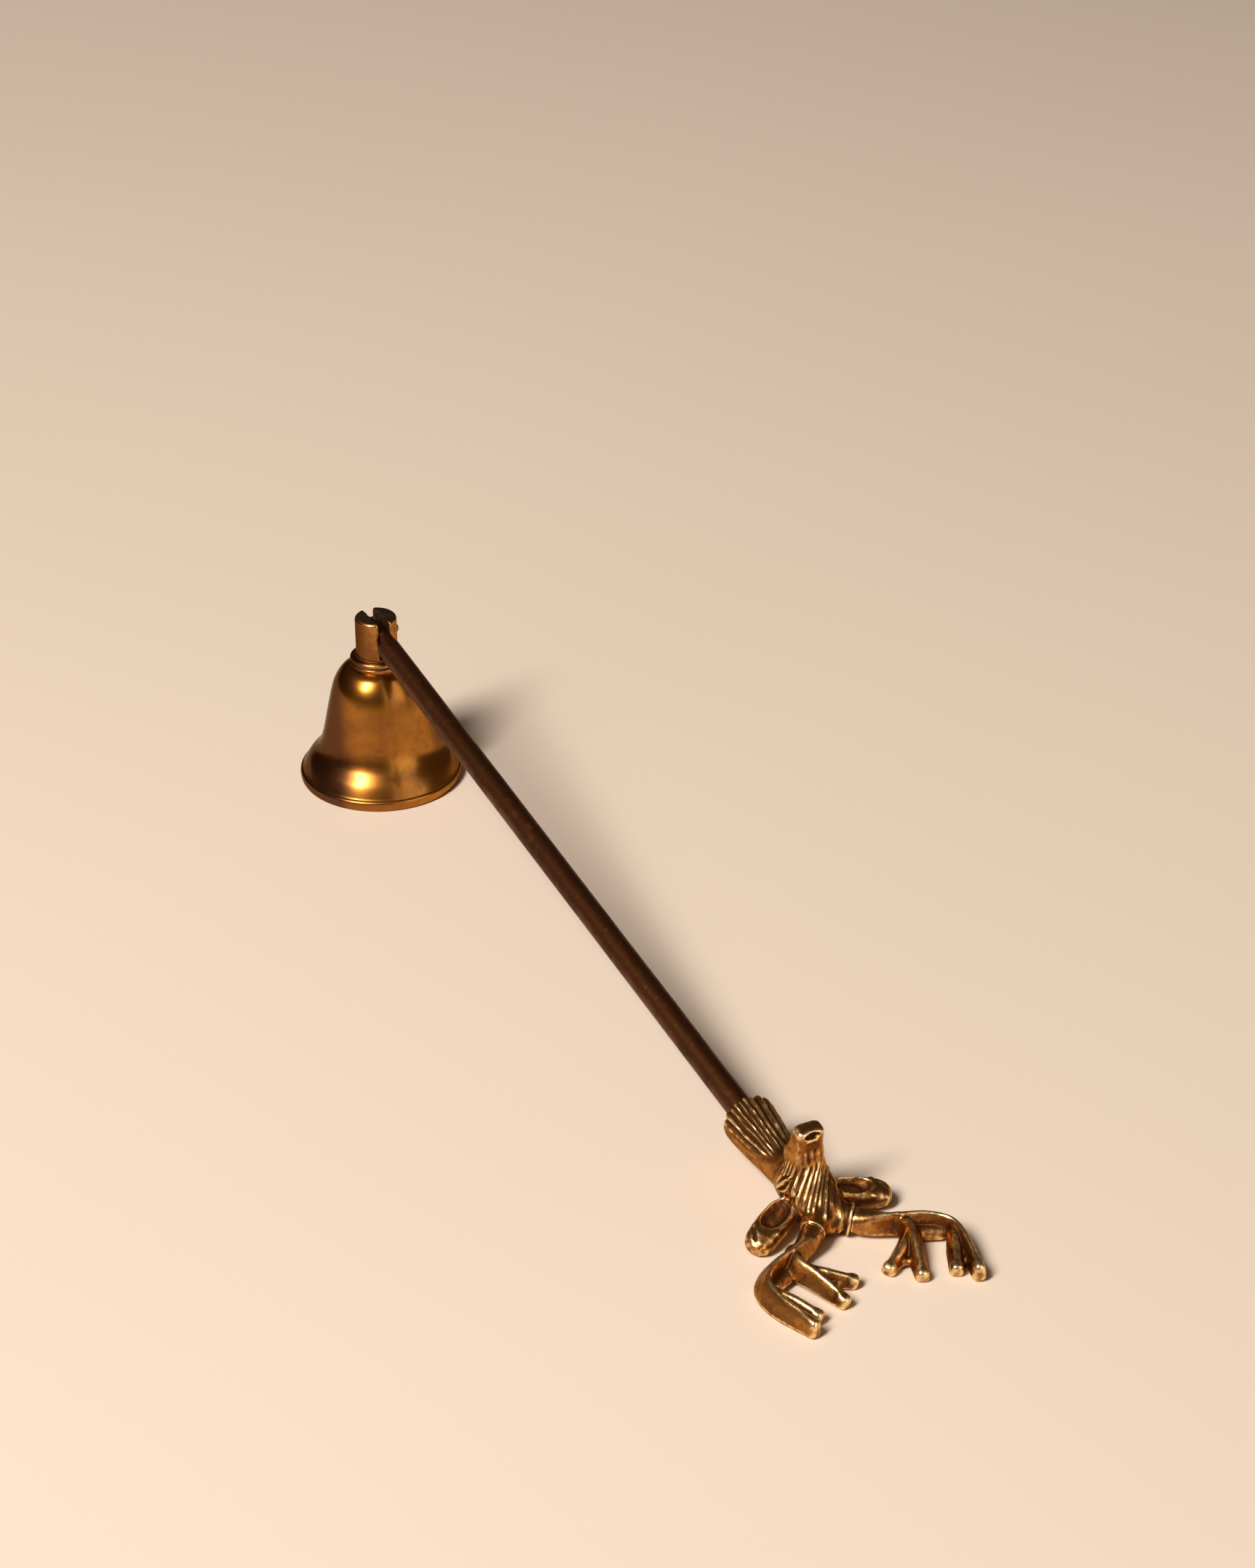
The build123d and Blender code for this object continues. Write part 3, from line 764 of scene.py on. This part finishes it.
def smooth_line(points, sizes, steps):
    """Smooth curve through the points, and the sizes along it."""
    points = np.array(points, float)
    sizes = np.array(sizes, float)
    line, size = [], []
    for i in range(len(points) - 1):
        p0, p1, p2, p3 = (points[min(max(i + k, 0), len(points) - 1)] for k in (-1, 0, 1, 2))
        slope = p2 - p0
        bend = 2 * p0 - 5 * p1 + 4 * p2 - p3
        twist = 3 * p1 - p0 - 3 * p2 + p3
        for t in np.arange(steps) / steps:
            line.append(0.5 * (2 * p1 + slope * t + bend * t ** 2 + twist * t ** 3))
            size.append(sizes[i] * (1 - t) + sizes[i + 1] * t)
    line.append(points[-1])
    size.append(sizes[-1])
    return np.array(line), np.array(size)


HALF = ANTLER_THICKNESS / 2
LIMB_STEPS = 6
LIMB_POWER = 2.9
WEB_SHARES = np.linspace(0.2, 0.74, 5)
WEB_RADIUS, WEB_DROP = 0.8, np.array((0, 0, -0.6))
BEAM_START = (0.075, 0.29, 0.26)
BEAM_TIP_LIFT = np.array((0, 0, 0.6))
ANTLER_CLEARANCE = 0.02


def limb_line(places, sizes, tip, tip_size, root=None):
    """Line and sizes of one limb: half width and half height as shares of the antler's thickness."""
    points = [antler_point(*place) for place in places] + [tip]
    halves = [(w * HALF, h * HALF) for w, h in sizes] + [tip_size]
    if root is not None:
        points, halves = [root] + points, [(HALF, HALF)] + halves
    return smooth_line(points, halves, LIMB_STEPS)


BEAM = limb_line(
    (
        BEAM_START, (0.17, 0.49, 0.38), (0.26, 0.745, 0.40),
        (0.425, 0.909, 0.54), (0.66, 0.909, 0.70),
    ),
    ((1.00, 1.24), (1.02, 1.34), (1.00, 1.34), (0.96, 1.28), (0.92, 1.18)),
    prong_tip(0.994, 0.805) + BEAM_TIP_LIFT,
    (PRONG_RADIUS, PRONG_RADIUS + 0.55),
    ANTLER_ROOT,
)
FRONT_TINE = limb_line(
    ((0.14, 0.49, 0.45), (0.32, 0.545, 0.62), (0.50, 0.490, 0.70)),
    ((0.60, 0.50), (1.12, 1.10), (0.96, 1.02)),
    prong_tip(0.79, 0.385),
    (PRONG_RADIUS * 1.05, PRONG_RADIUS),
)
FRONT_PRONG = limb_line(
    ((0.33, 0.535, 0.62), (0.50, 0.365, 0.56)),
    ((0.50, 0.60), (0.80, 0.88)),
    prong_tip(0.607, 0.19),
    (PRONG_RADIUS * 1.05, PRONG_RADIUS),
)
BACK_PRONG = limb_line(
    ((0.45, 0.895, 0.64), (0.68, 0.775, 0.70)),
    ((0.50, 0.60), (0.78, 0.86)),
    prong_tip(0.86, 0.678),
    (PRONG_RADIUS, PRONG_RADIUS),
)
ROOT_RUN = antler_point(*BEAM_START) - np.array(ANTLER_ROOT)
ROOT_RUN /= np.linalg.norm(ROOT_RUN)


def limb(q, line, sizes, lean, crest, start):
    """Tall limb along a line, hollowed in its walls up to a narrow crest, with a blunt round end."""
    steps = np.diff(line, axis=0)
    lengths = np.linalg.norm(steps, axis=1)
    runs = steps / lengths[:, None]
    share = np.concatenate(([0], np.cumsum(lengths))) / lengths.sum()
    heading = np.concatenate((runs[:1], runs[:-1] + runs[1:], runs[-1:]))
    heading /= np.linalg.norm(heading, axis=1)[:, None]
    best = np.full(len(q), 1e9)
    seat = np.zeros(len(q), int)
    spot = np.zeros(len(q))
    for i in range(len(steps)):
        t = np.clip(((q - line[i]) @ steps[i]) / lengths[i] ** 2, 0, 1)
        away = ((q - line[i] - t[:, None] * steps[i]) ** 2).sum(1)
        closer = away < best
        best = np.where(closer, away, best)
        seat = np.where(closer, i, seat)
        spot = np.where(closer, t, spot)
    o = q - line[seat] - spot[:, None] * steps[seat]
    run = heading[seat] * (1 - spot[:, None]) + heading[seat + 1] * spot[:, None]
    run /= np.linalg.norm(run, axis=1)[:, None]
    across = np.stack((-run[:, 1], run[:, 0], 0 * run[:, 0]), -1)
    across /= np.linalg.norm(across, axis=1)[:, None]
    upward = np.cross(run, across)
    x = (o * across).sum(1)
    y = (o * upward).sum(1)
    past_end = ((seat == 0) & (spot <= 0)) | ((seat == len(steps) - 1) & (spot >= 1))
    z = (o * run).sum(1) * past_end
    width, height = (sizes[seat] * (1 - spot[:, None]) + sizes[seat + 1] * spot[:, None]).T
    here = share[seat] * (1 - spot) + share[seat + 1] * spot
    shaped = (1 - 0.60 * ramp(here, 0.88, 1.0)) * ramp(here, start, start + 0.18)
    up = np.clip((y / height + 0.45) / 1.45, 0, 1)
    narrow = 1 - (1 - crest) * shaped * up ** 0.75
    x = x + lean * width * shaped * up
    shares = (np.abs(x) / (width * narrow), np.abs(y) / height, np.abs(z) / (0.95 * width))
    body = sum(share ** LIMB_POWER for share in shares) ** (1 / LIMB_POWER)
    return (body - 1) * np.minimum(width * narrow, height) * 0.85


def web(q, one, other):
    """Thin wall between two neighbouring prongs, up to near their ends."""
    best = np.full(len(q), 99.0)
    for share in WEB_SHARES:
        ends = []
        for line in (one, other):
            at = share * (len(line) - 1)
            i = min(int(at), len(line) - 2)
            ends.append(line[i] + (line[i + 1] - line[i]) * (at - i) + WEB_DROP)
        best = np.minimum(best, capsule(q, *ends, WEB_RADIUS, WEB_RADIUS))
    return best


def antler(q):
    body = limb(q, *BEAM, 0.22, 0.30, 0.05)
    body = join(body, limb(q, *FRONT_TINE, 0.10, 0.32, -0.1), 0.5)
    body = join(body, limb(q, *FRONT_PRONG, -0.05, 0.45, -0.1), 0.4)
    body = join(body, limb(q, *BACK_PRONG, -0.05, 0.50, -0.1), 0.4)
    body = join(body, web(q, FRONT_TINE[0][6:], FRONT_PRONG[0]), 0.6)
    body = join(body, web(q, BEAM[0][24:], BACK_PRONG[0]), 0.6)
    body = join(body, capsule(q, (44.4, 14.2, 0.1), (46.6, 19.4, 0.4), 1.5, 1.6), 0.5)
    along = (q - np.array(ANTLER_ROOT)) @ ROOT_RUN
    body = np.maximum(body, ANTLER_CLEARANCE - along)
    return np.maximum(body, ANTLER_CLEARANCE - table_height(q))


# Bell, turned from its own profile by a node tree
RIM_RADIUS = 20.0
LIP_HEIGHT = 2.2
LIP_TOP = 2.7
LIP = (
    (19.36, 2.86), (19.38, 2.76), (19.52, 2.67), (19.72, 2.54), (19.88, 2.34),
    (19.97, 2.00), (19.99, 1.50), (19.95, 0.95), (19.82, 0.45), (19.62, 0.14),
)
LIP_CREASE = 0.35
FOOT_INNER, FOOT_OUTER = 17.9, 19.4
CROWN_RADIUS = 7.2
CROWN_TOP = 30.8
CROWN_THICK = 1.6
BELL_WALL = 1.2
SCREW_HOLE = 2.0
BELL_CURVE = (
    (0.850, 0.118), (0.652, 0.224), (0.548, 0.343), (0.441, 0.570),
    (0.336, 0.780), (0.246, 0.885), (0.121, 0.962),
)
BELL_CURVE_STEPS = 10


def bell_section():
    """Half section of the bell as a closed loop: crown, outside, lip, foot, inside, screw hole."""
    rim = RIM_RADIUS - LIP_CREASE
    spread, tall = rim - CROWN_RADIUS, CROWN_TOP - LIP_HEIGHT
    outside = [(rim, LIP_HEIGHT)]
    outside += [(CROWN_RADIUS + r * spread, LIP_HEIGHT + h * tall) for r, h in BELL_CURVE]
    outside += [(CROWN_RADIUS, CROWN_TOP)]
    curve, _ = smooth_line(outside, [(0, 0)] * len(outside), BELL_CURVE_STEPS)
    along = np.gradient(curve, axis=0)
    along /= np.linalg.norm(along, axis=1)[:, None]
    inside = curve - BELL_WALL * np.stack((along[:, 1], -along[:, 0]), -1)
    ceiling = CROWN_TOP - CROWN_THICK
    inside = inside[(inside[:, 1] < ceiling - 0.2) & (inside[:, 1] > 1.0)]
    curve = curve[curve[:, 1] > LIP_TOP + 0.25]
    loop = [(SCREW_HOLE, CROWN_TOP)] + [tuple(c) for c in curve[::-1]] + list(LIP)
    loop += [(FOOT_OUTER, 0.0), (FOOT_INNER, 0.0)] + [tuple(c) for c in inside]
    loop += [(CROWN_RADIUS - BELL_WALL, ceiling), (SCREW_HOLE, ceiling)]
    return np.array([(r, 0.0, z) for r, z in loop])


def turning_tree():
    """Turns a closed half section, given as a ring of points, round the upright axis."""
    tree = bpy.data.node_groups.new("turned_shape", "GeometryNodeTree")
    for label, side, kind in (
        ("Section", "INPUT", "NodeSocketGeometry"),
        ("Steps Round", "INPUT", "NodeSocketInt"),
        ("Finish", "INPUT", "NodeSocketMaterial"),
        ("Turned", "OUTPUT", "NodeSocketGeometry"),
    ):
        tree.interface.new_socket(name=label, in_out=side, socket_type=kind)
    start = tree.nodes.new("NodeGroupInput")
    end = tree.nodes.new("NodeGroupOutput")
    section = start.outputs["Section"]
    count = add(tree, "GeometryNodeAttributeDomainSize", {0: section}).outputs["Point Count"]
    sheet = add(tree, "GeometryNodeMeshGrid", {
        "Size X": 1.0,
        "Size Y": 1.0,
        "Vertices X": maths(tree, "ADD", start.outputs["Steps Round"], 1.0),
        "Vertices Y": maths(tree, "ADD", count, 1.0),
    })
    place = add(tree, "GeometryNodeInputPosition").outputs[0]
    on_sheet = add(tree, "ShaderNodeSeparateXYZ", {0: place})
    angle = maths(tree, "MULTIPLY", on_sheet.outputs[0], 2 * pi)
    level = maths(tree, "MULTIPLY", maths(tree, "ADD", on_sheet.outputs[1], 0.5), count)
    number = maths(tree, "MODULO", maths(tree, "ROUND", level), count)
    links = {"Geometry": section, "Value": place, "Index": number}
    corner = add(tree, "GeometryNodeSampleIndex", links, data_type="FLOAT_VECTOR", domain="POINT")
    point = add(tree, "ShaderNodeSeparateXYZ", {0: corner.outputs[0]})
    radius = point.outputs[0]
    turned = add(tree, "ShaderNodeCombineXYZ", {
        0: maths(tree, "MULTIPLY", maths(tree, "COSINE", angle), radius),
        1: maths(tree, "MULTIPLY", maths(tree, "SINE", angle), radius),
        2: point.outputs[2],
    })
    links = {"Geometry": sheet.outputs["Mesh"], "Position": turned.outputs[0]}
    shaped = add(tree, "GeometryNodeSetPosition", links).outputs[0]
    closed = add(tree, "GeometryNodeMergeByDistance", {"Geometry": shaped, "Distance": 1e-7}).outputs[0]
    real = add(tree, "GeometryNodeRealizeInstances", {"Geometry": closed}).outputs[0]
    links = {"Geometry": real, "Material": start.outputs["Finish"]}
    finished = add(tree, "GeometryNodeSetMaterial", links).outputs[0]
    tree.links.new(finished, end.inputs["Turned"])
    return tree


def node_mesh(name, tree, source, settings):
    """Runs a node tree on a plain mesh and keeps the result as a mesh of its own."""
    carrier = bpy.data.objects.new(name + "_section", source)
    bpy.context.scene.collection.objects.link(carrier)
    modifier = carrier.modifiers.new("shape", "NODES")
    modifier.node_group = tree
    for item in tree.interface.items_tree:
        if item.item_type == "SOCKET" and item.in_out == "INPUT" and item.name in settings:
            modifier[item.identifier] = settings[item.name]
    seen = carrier.evaluated_get(bpy.context.evaluated_depsgraph_get())
    mesh = bpy.data.meshes.new_from_object(seen)
    mesh.name = name
    carrier.modifiers.clear()
    bpy.data.objects.remove(carrier)
    return mesh


def turned_mesh(name, corners, steps, finish):
    """Closed turned body from the corners of its half section."""
    ring = bpy.data.meshes.new(name + "_section")
    sides = [(i, (i + 1) % len(corners)) for i in range(len(corners))]
    ring.from_pydata([tuple(c) for c in corners], sides, [])
    mesh = node_mesh(name, TURNING, ring, {"Steps Round": steps, "Finish": finish})
    work = bmesh.new()
    work.from_mesh(mesh)
    loose = [e for e in work.edges if not e.link_faces]
    bmesh.ops.delete(work, geom=loose, context="EDGES")
    if work.calc_volume(signed=True) < 0:
        bmesh.ops.reverse_faces(work, faces=work.faces)
    work.to_mesh(mesh)
    work.free()
    finish_mesh(mesh, finish, TURNED_SHARP)
    return mesh


TURNING = turning_tree()
BELL_STEPS, ROD_STEPS = 192, 64
bell_mesh = turned_mesh("turned_bell", bell_section() * MM, BELL_STEPS, BELL_BRASS)
add_piece("turned_bell", bell_mesh, BELL_BODY, "bell")

# Rod: a turned bar, with the flat tongue of the solid left on its end
TONGUE_LENGTH = 6.8
ROD_RADIUS = 2.85
SHOULDER_EDGE = 0.5
SHOULDER_TURNS = (0.5, 1.05, pi / 2)
SOCKET_DEPTH = 14.0
RING_GAP = 3.0
END_GAP = 0.05


def rod_section():
    end = ROD_LENGTH + SOCKET_DEPTH - END_GAP
    corner = ROD_RADIUS - SHOULDER_EDGE
    loop = [(0.0, 0.0, TONGUE_LENGTH), (corner, 0.0, TONGUE_LENGTH)]
    for turn in SHOULDER_TURNS:
        inward, onward = SHOULDER_EDGE * (1 - np.sin(turn)), SHOULDER_EDGE * (1 - np.cos(turn))
        loop.append((ROD_RADIUS - inward, 0.0, TONGUE_LENGTH + onward))
    rings = np.arange(TONGUE_LENGTH + 2.0, ROD_LENGTH + SOCKET_DEPTH - 0.5, RING_GAP)
    loop += [(ROD_RADIUS, 0.0, z) for z in rings]
    return np.array(loop + [(ROD_RADIUS, 0.0, end), (0.0, 0.0, end)])


def rod_mesh():
    mesh = turned_mesh("turned_rod", rod_section() * MM, ROD_STEPS, ROD_BRONZE)
    work = bmesh.new()
    work.from_mesh(mesh)
    pin = Vector((0, 0, PIN_HEIGHT * MM))
    run, up, sideways = Vector(ROD_RUN), Vector(ROD_UP), Vector(SIDEWAYS)
    for v in work.verts:
        v.co = pin + sideways * v.co.x + up * v.co.y + run * v.co.z
    end = bmesh.new()
    end.from_mesh(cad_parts["rod"].data)
    bmesh.ops.remove_doubles(end, verts=end.verts, dist=SAME_POINT)
    shoulder = (TONGUE_LENGTH - 0.02) * MM
    beyond = [f for f in end.faces if (f.calc_center_median() - pin).dot(run) > shoulder]
    bmesh.ops.delete(end, geom=beyond, context="FACES")
    bmesh.ops.holes_fill(end, edges=[e for e in end.edges if e.is_boundary])
    tongue = bpy.data.meshes.new("tongue")
    end.to_mesh(tongue)
    end.free()
    work.from_mesh(tongue)
    for f in work.faces:
        f.smooth = True
        f.material_index = 0
    work.to_mesh(mesh)
    work.free()
    mesh.set_sharp_from_angle(angle=TURNED_SHARP)
    return mesh


add_piece("turned_rod", rod_mesh(), HANDLE, "rod")

# Fork post: turned post on a grooved collar, slotted for the tongue, its edges worn round
POST_RADIUS = 5.1
POST_TOP = 43.8
POST_EDGE = 0.5
COLLAR_RADIUS = 6.6
COLLAR_TOP = 33.5
COLLAR_EDGE = 0.4
GROOVE_MIDDLE, GROOVE_HALF, GROOVE_FLOOR = 32.23, 0.3, 6.15
SLOT_HALF = 1.35
TONGUE_SWEEP = 3.2
SLOT_LOW, SLOT_HIGH = radians(21), radians(97)
BACK_STOP = 1.9
SCREW_REACH = CROWN_TOP + 3.25
PIN_RADIUS = 1.1
PIN_GRIP = 0.08
PIN_HOLE_END = 4.2
NICKS_FROM = 0.9
SLOT_WEAR = 0.35
HALF_ROOT = 0.7071
FORK_BOX = ((-7.2, -7.2, 30.2), (7.2, 7.2, 44.4))
FORK_STEP = 0.15


def meet(a, b, k):
    """What two shapes share, its edge softened over a width k."""
    return -join(-a, -b, k)


def tongue_slot(p):
    """Slot that the tongue swings in, with a sloping floor and a stop at the back."""
    u, v = p[:, 0], p[:, 2] - PIN_HEIGHT
    below = -(u * sin(SLOT_LOW) + v * cos(SLOT_LOW))
    behind = -(u * sin(SLOT_HIGH) - v * cos(SLOT_HIGH))
    swept = np.hypot(np.maximum(below, 0), np.maximum(behind, 0))
    swept = swept + np.minimum(np.maximum(below, behind), 0) - TONGUE_SWEEP
    return np.maximum(np.minimum(swept, BACK_STOP - v), np.abs(p[:, 1]) - SLOT_HALF)


def turned_step(r, z, radius, top, edge):
    """Round step with a bevelled upper edge."""
    bevel = (r - radius + z - top + edge) * HALF_ROOT
    return meet(meet(r - radius, z - top, 0.1), bevel, 0.15)


def fork(p):
    x, y, z = p.T
    r = np.hypot(x, y)
    post = turned_step(r, z, POST_RADIUS, POST_TOP, POST_EDGE)
    collar = turned_step(r, z, COLLAR_RADIUS, COLLAR_TOP, COLLAR_EDGE)
    groove = np.maximum(np.abs(z - GROOVE_MIDDLE) - GROOVE_HALF, GROOVE_FLOOR - r)
    body = join(post, meet(collar, -groove, 0.12), 0.15)
    nicks = 0.10 * np.sin(2.1 * x + 1.0) * np.sin(1.7 * z + 0.6) + 0.05 * np.sin(4.3 * x + 2.2 * z)
    body = meet(body, -(tongue_slot(p) - nicks * (np.abs(y) > NICKS_FROM)), SLOT_WEAR)
    body = np.maximum(body, CROWN_TOP - z)
    body = np.maximum(body, -np.maximum(r - SCREW_HOLE, z - SCREW_REACH))
    around_pin = PIN_RADIUS - PIN_GRIP - np.hypot(x, z - PIN_HEIGHT)
    return np.maximum(body, np.minimum(around_pin, y + PIN_HOLE_END))


def unmoved(p):
    return p


fork_mesh = cast("fork_worn", fork, FORK_BOX, FORK_STEP, FORK_BRASS, place=unmoved)
at = np.empty(len(fork_mesh.vertices) * 3, np.float32)
fork_mesh.vertices.foreach_get("co", at)
at = at.reshape(-1, 3) / MM
# Slot walls and post top: dark rough cut metal, darkened further as painted shade
in_slot = ramp(tongue_slot(at), 0.35, 0.12) * ramp(at[:, 2], 34.5, 35.5)
on_top = ramp(at[:, 2], POST_TOP - 0.35, POST_TOP - 0.10)
set_values(fork_mesh, "cut_and_painted_shade", np.maximum(in_slot, on_top))
add_piece("fork_worn", fork_mesh, BELL_BODY, "fork_post")

# Castings: the boxes that hold them and the grid's step
CAST_STEP = 0.20
STAG_BOX = ((-1.5, -20.5, -7.5), (40.5, 19.5, 18.4))
RIGHT_BOX = ((33.4, 1.0, -3.2), (64.5, 26.0, 7.5))
LEFT_BOX = ((33.4, -26.0, -3.2), (64.5, -1.0, 7.5))


def left_antler(p):
    return antler(p * np.array((1, -1, 1)))


for node, field, box, strokes in (
    ("stag_head", stag, STAG_BOX, stag_strokes),
    ("antler_left", left_antler, LEFT_BOX, None),
    ("antler_right", antler, RIGHT_BOX, None),
):
    mesh = cast(node + "_casting", field, box, CAST_STEP, CAST_BRASS, strokes=strokes)
    add_piece(node + "_casting", mesh, HANDLE, node)


# Floor, light and camera
ROOM_TONE = (0.52, 0.37, 0.28, 1)
ROOM_LIGHT = 0.16
FLOOR_HALF = 9.0
FLOOR_TONES = (0.80, 0.665, 0.55, 1), (0.84, 0.705, 0.59, 1)
FADE_MIDDLE, FADE_FROM, FADE_TO = (-0.12, 0.08, 0.0), 0.50, 1.05
BLACK = (0, 0, 0, 1)
floor_mesh = bpy.data.meshes.new("floor")
ring = [(FLOOR_HALF * x, FLOOR_HALF * y, 0) for x, y in ((-1, -1), (1, -1), (1, 1), (-1, 1))]
floor_mesh.from_pydata(ring, [], [(0, 1, 2, 3)])
floor = bpy.data.objects.new("floor", floor_mesh)
bpy.context.scene.collection.objects.link(floor)
paper = bpy.data.materials.new("pale_table")
paper.use_nodes = True
tree = paper.node_tree
shader = tree.nodes["Principled BSDF"]
place = object_place(tree)
tone = mix_colour(tree, noise(tree, place, 3.0, 2.0), *FLOOR_TONES)
links = {0: place, 1: FADE_MIDDLE}
away = add(tree, "ShaderNodeVectorMath", links, operation="DISTANCE").outputs["Value"]
faded = between(tree, away, FADE_FROM, FADE_TO)
tree.links.new(mix_colour(tree, faded, tone, BLACK), shader.inputs["Base Color"])
tree.links.new(mix_colour(tree, faded, BLACK, ROOM_TONE), shader.inputs["Emission Color"])
shader.inputs["Emission Strength"].default_value = ROOM_LIGHT
shader.inputs["Specular IOR Level"].default_value = 0.0
shader.inputs["Roughness"].default_value = 0.75
floor_mesh.materials.append(paper)

world = bpy.data.worlds.new("studio")
bpy.context.scene.world = world
world.use_nodes = True
world.node_tree.nodes["Background"].inputs[0].default_value = ROOM_TONE
world.node_tree.nodes["Background"].inputs[1].default_value = ROOM_LIGHT


def softbox(name, place, aim, size, watts, colour, shape="ELLIPSE"):
    lamp = bpy.data.lights.new(name, "AREA")
    lamp.shape = shape
    lamp.size, lamp.size_y = size
    lamp.energy = watts
    lamp.color = colour
    obj = bpy.data.objects.new(name, lamp)
    obj.location = place
    obj.rotation_euler = (Vector(aim) - Vector(place)).to_track_quat("-Z", "Y").to_euler()
    obj.visible_camera = False
    bpy.context.scene.collection.objects.link(obj)
    return obj


AIM = (0.08, 0, 0.02)
softbox("key_softbox", (0.66, -1.40, 1.62), AIM, (0.50, 1.00), 57.0, (1.0, 0.95, 0.88))
softbox("wide_softbox", (0.70, -1.60, 1.85), AIM, (1.9, 1.7), 12.0, (1.0, 0.94, 0.86))
PANEL_PLACE, PANEL_AIM = (1.15, 0.37, 0.80), (0.0, 0, 0.80)
panel = softbox("side_panel", PANEL_PLACE, PANEL_AIM, (1.1, 1.6), 7.0, (1.0, 0.92, 0.84), "RECTANGLE")
panel.visible_diffuse = False

CAMERA_PLACE = (0.7234, -0.3168, 0.4476)
CAMERA_LOOK = (-0.7655, 0.4087, -0.4970)
camera_data = bpy.data.cameras.new("camera")
camera_data.sensor_fit = "HORIZONTAL"
camera_data.sensor_width = 36.0
camera_data.lens = 104.35
camera_data.clip_start = 0.01
camera = bpy.data.objects.new("camera", camera_data)
camera.location = CAMERA_PLACE
camera.rotation_euler = Vector(CAMERA_LOOK).to_track_quat("-Z", "Y").to_euler()
bpy.context.scene.collection.objects.link(camera)
bpy.context.scene.camera = camera
bpy.context.scene.view_settings.view_transform = "Standard"
